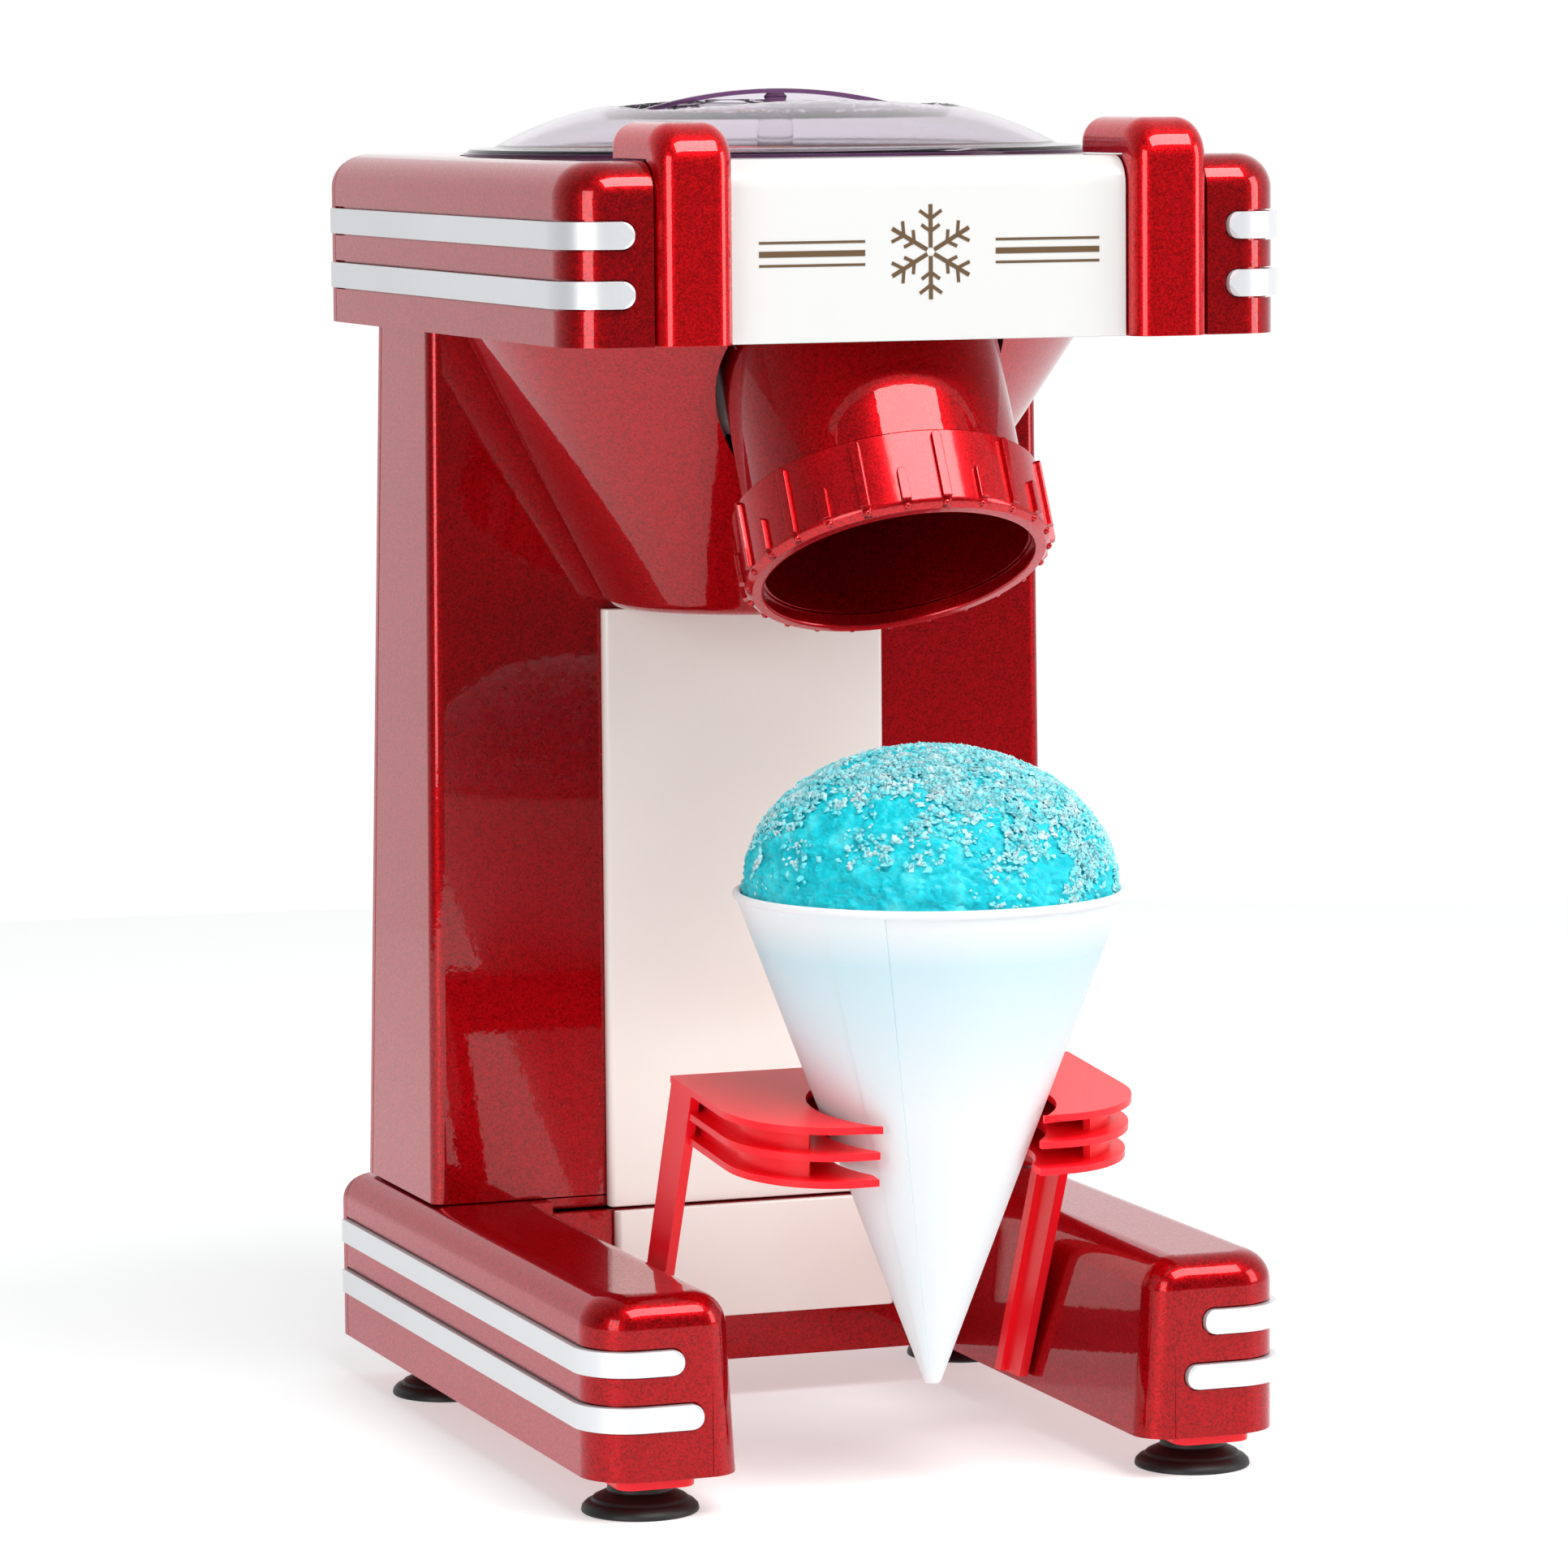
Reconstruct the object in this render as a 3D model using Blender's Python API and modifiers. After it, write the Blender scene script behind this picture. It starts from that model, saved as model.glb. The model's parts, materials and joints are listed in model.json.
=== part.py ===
"""A countertop shaved ice machine: a U-shaped base on suction feet, a column, and a head that holds the hopper,
the cutter disc and its gear train, with a slanting chute, a cone holder and a paper cone of ice.

Metres, +Z up. The machine stands on z = 0 and faces -Y. The sizes below are measured from the middle of the
base, and the empty named machine_frame moves everything so that the origin is under the middle of the whole.
"""

from math import asin, cos, degrees, pi, radians, sin, tan

import bmesh
import bpy
from mathutils import Matrix

# ---- Driving sizes ----
GAP = 0.0003  # between neighbouring pieces
WALL = 0.0026
COVER = 0.0030  # thickness of the rear covers
CORNER = 0.0124  # upright front corners of the base and the head

BASE_X, BASE_FRONT, BASE_REAR = 0.0886, -0.1054, 0.1054
BASE_LOW, BASE_TOP = 0.0106, 0.0545
LEG_IN_LOW, LEG_IN_TOP = 0.0514, 0.0540  # half the gap between the legs
BRIDGE_FRONT, BRIDGE_STEP = 0.0330, 0.0515  # the member that joins the legs, and its step before the column

HEAD_X, HEAD_FRONT, HEAD_REAR = 0.0907, -0.1015, 0.0948
HEAD_LOW, HEAD_TOP = 0.2776, 0.3207

COLUMN_FRONT = 0.0386
COLUMN_EDGE = 0.0035  # rounding of the front upright edges
COLUMN_X_LOW, COLUMN_X_TOP = 0.0839, 0.0823
COLUMN_REAR_LOW, COLUMN_REAR_TOP = 0.0963, 0.0824

PILLAR_IN, PILLAR_OUT, PILLAR_TOP, PILLAR_REAR = 0.0503, 0.0695, 0.3296, -0.0660

HOPPER_Y = 0.0090  # the upright axis of the lid, the hopper and the cutter
LID_R, LID_CREST = 0.0780, 0.3367
DOME_R, DOME_LOW, DOME_CREST, DOME_WALL = 0.0745, 0.3229, 0.3325, 0.0018
GRIP_X, GRIP_LOW, GRIP_HALF = 0.0400, 0.3300, 0.0014  # the arched rib across the lid
RECESS_R, RECESS_FLOOR = 0.0790, 0.3125  # round seat for the lid in the head's top
PRESS_TRAVEL = 0.0027  # how far the lid is pushed down to run the machine
SPRING_LOW, SPRING_TOP = 0.3042, 0.3167
PLUNGER_R, PLUNGER_LOW = 0.0015, 0.2975

CHAMBER_R, DISC_R, DISC_LOW, DISC_TOP = 0.0540, 0.0490, 0.2825, 0.2845
BLADE_FROM, BLADE_TO, BLADE_LOW, BLADE_TOP = 0.0120, 0.0460, 0.2848, 0.2856

CHUTE_MOUTH = (0.0, -0.0766, 0.2215)
CHUTE_TILT = 28.3  # degrees from straight down, towards the front
CHUTE_R, CHUTE_BORE = 0.0340, 0.0322
COLLAR_R, COLLAR_ROOT_R, COLLAR_LENGTH, COLLAR_RIBS = 0.0386, 0.0374, 0.0200, 24

CONE_Y, CONE_TIP, CONE_RIM, CONE_R = -0.0957, 0.0272, 0.1465, 0.0468
CONE_TIP_R, CONE_LIP_R, PAPER = 0.0020, 0.0478, 0.0008
ICE_TOP = 0.1825

HOLDER_X, HOLDER_BACK, HOLDER_FRONT, HOLDER_TOP = 0.0520, -0.0550, -0.1165, 0.0992
HOLDER_TILT, SHELF, SHELF_PITCH = 5.0, 0.0017, 0.0066
HOLDER_MOUTH = 0.0205  # half the opening at the front of a shelf
ARM_TOP_X, ARM_FOOT_X, ARM_THICK, ARM_WIDE, ARM_FOOT_Z = 0.0516, 0.0508, 0.0038, 0.0146, 0.0133
ARM_FOOT_Y = (-0.0304, -0.0171)

FOOT_X, FOOT_FRONT, FOOT_REAR, FOOT_R = 0.0715, -0.0868, 0.0700, 0.0142
SCREW_SHANK_R, SCREW_HOLE_R = 0.0014, 0.0017
BACK_PANEL_X = 0.0378  # half width of the two cream panels between the legs and the column

GEAR_MODULE, CUTTER_TEETH, IDLER_TEETH, PINION_TEETH = 0.0013, 40, 14, 11
GEAR_LOW, GEAR_TOP = 0.2405, 0.2470
PLATE_LOW, PLATE_TOP = 0.2350, 0.2373  # the steel plate that carries the motor and the gears
SHAFT_LOW = 0.2376

ORIGIN_SHIFT = (0.0, -(CONE_Y - CONE_LIP_R + BASE_REAR) / 2, 0.0)

COLOURS = {  # slot: colour, roughness, metallic, alpha
    "red_paint": ((0.42, 0.006, 0.012), 0.22, 0.55, 1.0),
    "cream_plastic": ((0.86, 0.83, 0.76), 0.30, 0.0, 1.0),
    "silver_trim": ((0.72, 0.72, 0.73), 0.32, 0.9, 1.0),
    "black_rubber": ((0.012, 0.012, 0.013), 0.60, 0.0, 1.0),
    "clear_red": ((0.80, 0.010, 0.025), 0.18, 0.0, 0.85),
    "clear_lid": ((0.72, 0.66, 0.76), 0.05, 0.0, 0.30),
    "white_paper": ((0.88, 0.90, 0.92), 0.65, 0.0, 1.0),
    "blue_ice": ((0.05, 0.62, 0.72), 0.25, 0.0, 1.0),
    "steel": ((0.60, 0.60, 0.62), 0.28, 1.0, 1.0),
    "white_nylon": ((0.80, 0.80, 0.78), 0.45, 0.0, 1.0),
    "bronze": ((0.55, 0.34, 0.14), 0.35, 1.0, 1.0),
    "black_plastic": ((0.02, 0.02, 0.02), 0.45, 0.0, 1.0),
}


# ---- Scene ----
for old in list(bpy.data.objects):
    bpy.data.objects.remove(old, do_unlink=True)


def new_collection(name):
    found = bpy.data.collections.new(name)
    bpy.context.scene.collection.children.link(found)
    return found


def new_material(name, colour, roughness, metallic, alpha):
    made = bpy.data.materials.new(name)
    made.use_nodes = True
    shader = made.node_tree.nodes["Principled BSDF"]
    shader.inputs["Base Color"].default_value = (*colour, 1.0)
    shader.inputs["Roughness"].default_value = roughness
    shader.inputs["Metallic"].default_value = metallic
    shader.inputs["Alpha"].default_value = alpha
    made.diffuse_color = (*colour, alpha)
    return made


PARTS = new_collection("shaved_ice_machine")
CUTTERS = new_collection("cutters")
MATERIALS = {slot: new_material(slot, *look) for slot, look in COLOURS.items()}
FRAME = bpy.data.objects.new("machine_frame", None)
FRAME.location = ORIGIN_SHIFT
PARTS.objects.link(FRAME)


# ---- Modelling tools ----
def place(obj, slot, origin=(0, 0, 0), tilt=0.0):
    """Puts an object in its collection. With no slot it is a cutter, which is never part of the machine."""
    (PARTS if slot else CUTTERS).objects.link(obj)
    obj.parent = FRAME
    obj.location = origin
    obj.rotation_euler = (radians(tilt), 0, 0)
    if slot:
        obj.data.materials.append(MATERIALS[slot])
    else:
        obj.hide_render = True
        obj.display_type = "WIRE"
    return obj


def place_as_part(obj, slot):
    """Moves a shape made as a cutter into the machine."""
    CUTTERS.objects.unlink(obj)
    PARTS.objects.link(obj)
    obj.hide_render = False
    obj.display_type = "TEXTURED"
    obj.data.materials.append(MATERIALS[slot])


def solid(name, bm, slot=None, origin=(0, 0, 0), tilt=0.0):
    """An object from a mesh whose points are relative to origin."""
    mesh = bpy.data.meshes.new(name)
    bmesh.ops.recalc_face_normals(bm, faces=bm.faces)
    bm.to_mesh(mesh)
    bm.free()
    mesh.shade_smooth()
    mesh.set_sharp_from_angle(angle=radians(30))
    return place(bpy.data.objects.new(name, mesh), slot, origin, tilt)


def cube_of(corner):
    """A cube whose corner (sx, sy, sz), each -1 or 1, goes to corner(sx, sy, sz)."""
    bm = bmesh.new()
    bmesh.ops.create_cube(bm, size=2)
    for vert in bm.verts:
        vert.co = corner(*(round(value) for value in vert.co))
    return bm


def block(x, y, z):
    """A box from three (low, high) pairs."""
    return cube_of(lambda sx, sy, sz: (x[sx > 0], y[sy > 0], z[sz > 0]))


def rod(radius, low, high, steps=32, centre=(0, 0)):
    bm = bmesh.new()
    bmesh.ops.create_cone(
        bm, cap_ends=True, segments=steps, radius1=radius, radius2=radius, depth=high - low
    )
    bmesh.ops.translate(bm, vec=(centre[0], centre[1], (low + high) / 2), verts=bm.verts)
    return bm


def lie_along_y(bm, centre):
    """Lays an upright rod along Y through (x, z) = centre, with its heights becoming its y."""
    bmesh.ops.rotate(bm, matrix=Matrix.Rotation(radians(-90), 3, "X"), verts=bm.verts)
    bmesh.ops.translate(bm, vec=(centre[0], 0, centre[1]), verts=bm.verts)
    return bm


def round_edges(bm, radius, steps, pick):
    """Rounds each edge whose two ends satisfy pick(a, b)."""
    edges = [edge for edge in bm.edges if pick(edge.verts[0].co, edge.verts[1].co)]
    bmesh.ops.bevel(
        bm, geom=edges, offset=radius, segments=steps, profile=0.5, affect="EDGES", clamp_overlap=True
    )
    return bm


def upright_at(y):
    return lambda a, b: abs(a.z - b.z) > 0.002 and abs(a.y - y) < 0.002 and abs(b.y - y) < 0.002


def at_height(z):
    return lambda a, b: abs(a.z - z) < 1e-5 and abs(b.z - z) < 1e-5


def extruded(outlines, low, high):
    """Flat outlines, the first the edge and the rest holes, from z = low to z = high."""
    curve = bpy.data.curves.new("outline", "CURVE")
    curve.dimensions = "2D"
    curve.fill_mode = "BOTH"
    curve.extrude = (high - low) / 2
    for outline in outlines:
        spline = curve.splines.new("POLY")
        spline.points.add(len(outline) - 1)
        spline.use_cyclic_u = True
        for point, (x, y) in zip(spline.points, outline):
            point.co = (x, y, 0, 1)
    guide = bpy.data.objects.new("outline", curve)
    bpy.context.scene.collection.objects.link(guide)
    graph = bpy.context.evaluated_depsgraph_get()
    mesh = bpy.data.meshes.new_from_object(guide.evaluated_get(graph))
    bpy.data.objects.remove(guide)
    bm = bmesh.new()
    bm.from_mesh(mesh)
    bpy.data.meshes.remove(mesh)
    bmesh.ops.remove_doubles(bm, verts=bm.verts, dist=1e-6)
    bmesh.ops.translate(bm, vec=(0, 0, (low + high) / 2), verts=bm.verts)
    return bm


def turned(name, profile, slot=None, steps=48, origin=(0, 0, 0), tilt=0.0):
    """A turned solid. The (radius, z) profile runs down the outside and, for a ring or a cup, up the inside."""
    mesh = bpy.data.meshes.new(name)
    on_axis = profile[0][0] == 0 and profile[-1][0] == 0
    last = len(profile) - 1 if on_axis else len(profile)
    edges = [(index, (index + 1) % len(profile)) for index in range(last)]
    mesh.from_pydata([(radius, 0, z) for radius, z in profile], edges, [])
    obj = bpy.data.objects.new(name, mesh)
    screw = obj.modifiers.new("turn", "SCREW")
    screw.steps = screw.render_steps = steps
    screw.use_merge_vertices = True
    screw.merge_threshold = 1e-5
    screw.use_smooth_shade = False
    return place(obj, slot, origin, tilt)


def boolean(obj, operation, others):
    for other in others:
        modifier = obj.modifiers.new(other.name, "BOOLEAN")
        modifier.operation = operation
        modifier.object = other
    return obj


def cut(obj, *others):
    return boolean(obj, "DIFFERENCE", others)


def join(obj, *others):
    return boolean(obj, "UNION", others)


def keep(obj, *others):
    return boolean(obj, "INTERSECT", others)


def arc(centre, radius, start, end, steps):
    """Points of an arc, with its angles in degrees."""
    angles = [radians(start + (end - start) * index / steps) for index in range(steps + 1)]
    return [(centre[0] + radius * cos(angle), centre[1] + radius * sin(angle)) for angle in angles]


def polar(radius, angle):
    return (radius * cos(radians(angle)), radius * sin(radians(angle)))


def circle(radius, steps):
    return [polar(radius, 360 * index / steps) for index in range(steps)]


def upright(a, b):
    """Picks the edges that run up the piece, however thin it is."""
    return abs(a.z - b.z) > 0.001


SIDES = (("left", -1), ("right", 1))
FAR = 0.5  # further than any piece reaches, for cutters


# ---- Base ----
def leg_corner(side, x_in_low, x_in_top, x_out, y, z):
    """The corners of one leg, whose inner side leans outwards."""

    def corner(sx, sy, sz):
        inner = x_in_top if sz > 0 else x_in_low
        return (side * (x_out if sx * side > 0 else inner), y[sy > 0], z[sz > 0])

    return corner


def base_block(name, slot=None):
    """The whole base before it is hollowed: two rounded legs and the bridge between them."""
    obj = None
    for word, side in SIDES:
        leg = cube_of(
            leg_corner(side, LEG_IN_LOW, LEG_IN_TOP, BASE_X, (BASE_FRONT, BASE_REAR), (BASE_LOW, BASE_TOP))
        )
        round_edges(leg, CORNER, 4, lambda a, b: upright_at(BASE_FRONT)(a, b) and abs(a.x) > 0.08)
        round_edges(leg, 0.0085, 3, lambda a, b: upright_at(BASE_FRONT)(a, b) and abs(a.x) < 0.06)
        round_edges(leg, 0.0080, 3, at_height(BASE_TOP))
        made = solid(f"{name}_{word}", leg) if obj else solid(name, leg, slot)
        obj = join(obj, made) if obj else made
    bridge = block((-0.0785, 0.0785), (BRIDGE_FRONT, BASE_REAR), (BASE_LOW, BASE_TOP))
    round_edges(bridge, 0.0080, 3, lambda a, b: at_height(BASE_TOP)(a, b) and a.y > 0.1 and b.y > 0.1)
    step = block((-LEG_IN_TOP, LEG_IN_TOP), (0.0, COLUMN_FRONT), (BRIDGE_STEP, 0.1))
    return cut(join(obj, solid(f"{name}_bridge", bridge)), solid(f"{name}_step", step))


def base_cavity(name, inset, low, high, rear):
    """The hollow of the base, or with more inset the bottom plate that closes it."""
    obj = None
    for word, side in SIDES:
        x_out, x_in = BASE_X - inset, LEG_IN_TOP + inset
        leg = cube_of(
            leg_corner(side, x_in, x_in, x_out, (BASE_FRONT + inset, rear), (low, high))
        )
        round_edges(leg, CORNER - inset, 3, upright_at(BASE_FRONT + inset))
        made = solid(f"{name}_{word}" if obj else name, leg)
        obj = join(obj, made) if obj else made
    bridge = block((-0.06, 0.06), (BRIDGE_FRONT + inset, rear), (low, high))
    return join(obj, solid(f"{name}_bridge", bridge))


def strip_bar(side, half_x, front, rear, end_x, z, height, proud, depth):
    """A trim strip along the side and round the front corner, standing proud of the wall and sunk into it."""
    centre = (half_x - CORNER, front + CORNER)
    outer = [(half_x + proud, rear)] + arc(centre, CORNER + proud, 0, -90, 5) + [(end_x, front - proud)]
    inner = [(end_x, front + depth)] + arc(centre, CORNER - depth, -90, 0, 5) + [(half_x - depth, rear)]
    outline = [(side * x, y) for x, y in outer + inner]
    bm = extruded([outline], z - height / 2, z + height / 2)

    def at_end(a, b):
        return max(abs(abs(a.x) - end_x), abs(abs(b.x) - end_x)) < 1e-5 and abs(a.z - b.z) < 1e-6

    return round_edges(bm, height * 0.46, 3, at_end)


def trim(owner, where, half_x, front, rear, rows):
    """The silver strips of the base or the head, with the grooves that they lie in."""
    for word, side in SIDES:
        for level, z, end_x, height in rows:
            name = f"{where}_strip_{level}_{word}"
            bar = strip_bar(side, half_x, front, rear, end_x, z, height, 0.0015, 0.0008)
            solid(name, bar, "silver_trim")
            groove = strip_bar(
                side, half_x, front, rear + 0.0004, end_x - 0.0004, z, height + 0.0008, 0.0030, 0.0012
            )
            cut(owner, solid(f"{name}_groove", groove))


def suction_foot(name, x, y):
    profile = [
        (0, 0.0150), (0.0052, 0.0150), (0.0052, 0.0134), (0.0030, 0.0134), (0.0030, 0.0075),
        (0.0080, 0.0075), (0.0080, 0.0050), (FOOT_R, 0.0018), (FOOT_R, 0.0), (0.0125, 0.0), (0, 0.0034),
    ]  # fmt: skip
    return turned(name, profile, "black_rubber", 18, (x, y, 0))


def screw(name, at, along_y=False):
    """A pan-head screw. Its head is at z below 0, or behind y = 0, and its shank goes the other way."""
    profile = [
        (0, 0.0075), (SCREW_SHANK_R, 0.0075), (SCREW_SHANK_R, 0.0), (0.0029, 0.0), (0.0029, -0.0008),
        (0.0020, -0.0017), (0, -0.0017),
    ]  # fmt: skip
    obj = turned(name, profile, "steel", 12, at)
    if along_y:
        obj.rotation_euler = (radians(90), 0, 0)
    return obj


def build_base():
    seam = BASE_REAR - COVER
    shell = base_block("base_shell", "red_paint")
    cut(shell, solid("base_behind", block((-FAR, FAR), (seam, FAR), (-FAR, FAR))))
    cut(shell, base_cavity("base_hollow", WALL, -0.01, BASE_TOP - WALL, seam + 0.01))
    trim(
        shell, "base", BASE_X, BASE_FRONT, seam - 0.0006,
        (("upper", 0.0389, 0.0667, 0.0060), ("lower", 0.0256, 0.0620, 0.0060)),
    )  # fmt: skip

    cover = base_block("base_rear_cover", "red_paint")
    keep(cover, solid("base_rear", block((-FAR, FAR), (seam + GAP, FAR), (-FAR, FAR))))
    inlet = (0.0, 0.0300)
    cut(cover, solid("inlet_hole", lie_along_y(rod(0.0078, seam - 0.01, BASE_REAR + 0.01), inlet)))
    gland = turned(
        "cord_inlet_grommet",
        [(0.0074, 0.0), (0.0074, -0.0030), (0.0040, -0.0030), (0.0040, 0.0)],
        "black_rubber", 16, (inlet[0], BASE_REAR - 0.0001, inlet[1]),
    )  # fmt: skip
    gland.rotation_euler = (radians(-90), 0, 0)

    plate = base_cavity("base_bottom_plate", WALL + GAP, BASE_LOW, BASE_LOW + 0.0025, seam - GAP)
    place_as_part(plate, "clear_red")
    for word, side in SIDES:
        for where, y in (("front", FOOT_FRONT), ("rear", FOOT_REAR)):
            x = side * FOOT_X
            pad = block((x - 0.0098, x + 0.0098), (y - 0.0147, y + 0.0150), (0.0078, BASE_LOW + 0.0010))
            round_edges(pad, 0.0040, 2, upright)
            join(plate, solid(f"pad_{where}_{word}", pad))
            cut(plate, solid(f"foot_hole_{where}_{word}", rod(0.0033, -0.01, 0.03, 16, (x, y))))
            suction_foot(f"suction_foot_{where}_{word}", x, y)
        screw_at = (side * FOOT_X, 0.0, BASE_LOW - GAP)
        cut(plate, solid(f"screw_hole_{word}", rod(SCREW_HOLE_R, -0.01, 0.03, 12, screw_at[:2])))
        screw(f"base_screw_{word}", screw_at)


# ---- Column ----
COLUMN_LOW, COLUMN_HIGH = BASE_TOP + GAP, HEAD_LOW - GAP


def column_block(inset, front, rear_inset, low=COLUMN_LOW, high=COLUMN_HIGH):
    """The tapering column, or a smaller copy of it."""

    def corner(sx, sy, sz):
        half_x = (COLUMN_X_TOP if sz > 0 else COLUMN_X_LOW) - inset
        rear = (COLUMN_REAR_TOP if sz > 0 else COLUMN_REAR_LOW) - rear_inset
        return (sx * half_x, rear if sy > 0 else front, high if sz > 0 else low)

    return cube_of(corner)


def build_column():
    outer = column_block(0, COLUMN_FRONT, COVER)
    round_edges(outer, COLUMN_EDGE, 3, upright_at(COLUMN_FRONT))
    shell = solid("column_shell", outer, "red_paint")
    hollow = column_block(WALL, COLUMN_FRONT + WALL, -0.01, COLUMN_LOW + WALL, COLUMN_HIGH - WALL)
    cut(shell, solid("column_hollow", hollow))
    cover = solid("column_rear_cover", column_block(0, COLUMN_FRONT, 0), "red_paint")
    cut(cover, solid("column_body", column_block(-0.01, -FAR, COVER - GAP, COLUMN_LOW, COLUMN_HIGH)))

    slope = (COLUMN_REAR_LOW - COLUMN_REAR_TOP) / (COLUMN_HIGH - COLUMN_LOW)
    number = 0
    for z in (0.0780, 0.2560):
        rear = COLUMN_REAR_LOW - (z - COLUMN_LOW) * slope
        for side in (-1, 1):
            number += 1
            at = (side * 0.0710, z)
            post = lie_along_y(rod(0.0042, COLUMN_FRONT + 0.0010, rear - COVER - 0.0004, 12), at)
            join(shell, solid(f"screw_post_{number}", post))
            drill = lie_along_y(rod(SCREW_HOLE_R, rear - 0.0140, rear + 0.01, 12), at)
            hole = solid(f"column_screw_hole_{number}", drill)
            cut(shell, hole)
            cut(cover, hole)
            screw(f"column_screw_{number}", (at[0], rear + GAP + 0.0002, z), along_y=True)
    for row in range(7):
        z = 0.1500 + row * 0.0080
        slot = block((-0.0300, 0.0300), (0.05, 0.11), (z - 0.0016, z + 0.0016))
        cut(cover, solid(f"vent_{row + 1}", slot))

    for name, front, seat, low, high in (
        ("back_panel", 0.0351, COLUMN_FRONT, BRIDGE_STEP + GAP, 0.2055),
        ("lower_panel", 0.0300, BRIDGE_FRONT, 0.0225, BRIDGE_STEP),
    ):
        panel = block((-BACK_PANEL_X, BACK_PANEL_X), (front, seat - GAP), (low, high))
        round_edges(panel, 0.0016, 2, upright_at(front))
        solid(name, panel, "cream_plastic")
    return shell


# ---- Head ----
def head_block(name, slot=None):
    bm = block((-HEAD_X, HEAD_X), (HEAD_FRONT, HEAD_REAR), (HEAD_LOW, HEAD_TOP))
    round_edges(bm, CORNER, 4, upright_at(HEAD_FRONT))
    round_edges(bm, 0.0085, 3, at_height(HEAD_TOP))
    return solid(name, bm, slot)


PANEL_FRONT, PANEL_REAR = -0.0988, -0.0725
SEAT_FRONT = -0.0952  # front wall of the head behind the pillars and the front panel
RING_R = 0.0830  # boss under the head's top that holds the press ring and the hopper
SPRING_R = 0.0757
SWITCH_ANGLE = 45
SPRING_ANGLES = (0, 135, 250)


def around(radius, angle):
    """The (x, y) of a point round the upright axis of the hopper."""
    x, y = polar(radius, angle)
    return (x, HOPPER_Y + y)


def build_head():
    seam = HEAD_REAR - COVER
    middle = (0, HOPPER_Y)
    shell = head_block("head_shell", "red_paint")
    cut(shell, solid("head_behind", block((-FAR, FAR), (seam, FAR), (-FAR, FAR))))
    hollow = block((-HEAD_X + WALL, HEAD_X - WALL), (SEAT_FRONT + WALL, seam + 0.01), (0.27, HEAD_TOP - WALL))
    round_edges(hollow, 0.0060, 2, lambda a, b: abs(a.x - b.x) < 1e-5 and a.z > 0.3 and b.z > 0.3)
    cut(shell, solid("head_hollow", hollow))
    join(shell, solid("head_ring", rod(RING_R, 0.3015, HEAD_TOP - 0.0010, 36, middle)))
    seat = block((-PILLAR_OUT - GAP, PILLAR_OUT + GAP), (-FAR, SEAT_FRONT), (0.0, FAR))
    cut(shell, solid("front_seat", seat))
    ledge = block((-PILLAR_IN, PILLAR_IN), (-FAR, PANEL_REAR + GAP), (HEAD_TOP - 0.0022, FAR))
    cut(shell, solid("front_ledge", ledge))
    cut(shell, solid("lid_recess", rod(RECESS_R, RECESS_FLOOR, 0.34, 36, middle)))
    cut(shell, solid("hopper_seat", rod(0.0722, 0.3095, 0.34, 36, middle)))
    cut(shell, solid("hopper_hole", rod(0.0690, 0.29, 0.34, 36, middle)))
    for number, angle in enumerate(SPRING_ANGLES, 1):
        well = rod(0.0027, SPRING_LOW - 0.0004, 0.32, 12, around(SPRING_R, angle))
        cut(shell, solid(f"spring_well_{number}", well))
    plunger_hole = rod(PLUNGER_R + 0.0004, 0.29, 0.32, 12, around(SPRING_R, SWITCH_ANGLE))
    cut(shell, solid("plunger_hole", plunger_hole))
    trim(
        shell, "head", HEAD_X, HEAD_FRONT, seam - 0.0006,
        (("upper", 0.3036, 0.0749, 0.0064), ("lower", 0.2898, 0.0749, 0.0064)),
    )  # fmt: skip

    cover = head_block("head_rear_cover", "red_paint")
    keep(cover, solid("head_rear", block((-FAR, FAR), (seam + GAP, FAR), (0.0, FAR))))

    floor = solid(
        "head_floor",
        block((-0.0878, 0.0878), (SEAT_FRONT + WALL + GAP, seam - GAP), (HEAD_LOW, HEAD_LOW + 0.0025)),
        "red_paint",
    )
    cut(floor, solid("chamber_hole", rod(0.0560, 0.25, 0.30, 36, middle)))

    front = block((-PILLAR_IN + GAP, PILLAR_IN - GAP), (PANEL_FRONT, PANEL_REAR), (HEAD_LOW, HEAD_TOP))
    round_edges(front, 0.0070, 4, lambda a, b: at_height(HEAD_TOP)(a, b) and a.y < -0.09 and b.y < -0.09)
    panel = solid("front_panel", front, "cream_plastic")
    inside = block((-FAR, FAR), (SEAT_FRONT - GAP, 0.0), (0.0, HEAD_TOP - 0.0019))
    cut(panel, solid("front_panel_inside", inside))
    cut(panel, solid("front_panel_lid_clearance", rod(RECESS_R + GAP, 0.30, 0.34, 36, middle)))

    for word, side in SIDES:
        x = sorted((side * PILLAR_IN, side * PILLAR_OUT))
        bm = block(x, (BASE_FRONT, PILLAR_REAR), (HEAD_LOW, PILLAR_TOP))
        round_edges(bm, 0.0060, 4, upright_at(BASE_FRONT))
        round_edges(bm, 0.0050, 3, upright_at(PILLAR_REAR))
        round_edges(bm, 0.0055, 4, at_height(PILLAR_TOP))
        pillar = solid(f"pillar_{word}", bm, "red_paint")
        inside = block((-FAR, FAR), (SEAT_FRONT - GAP, 0.0), (0.0, HEAD_TOP + GAP))
        cut(pillar, solid(f"pillar_inside_{word}", inside))

    return shell, floor


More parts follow.
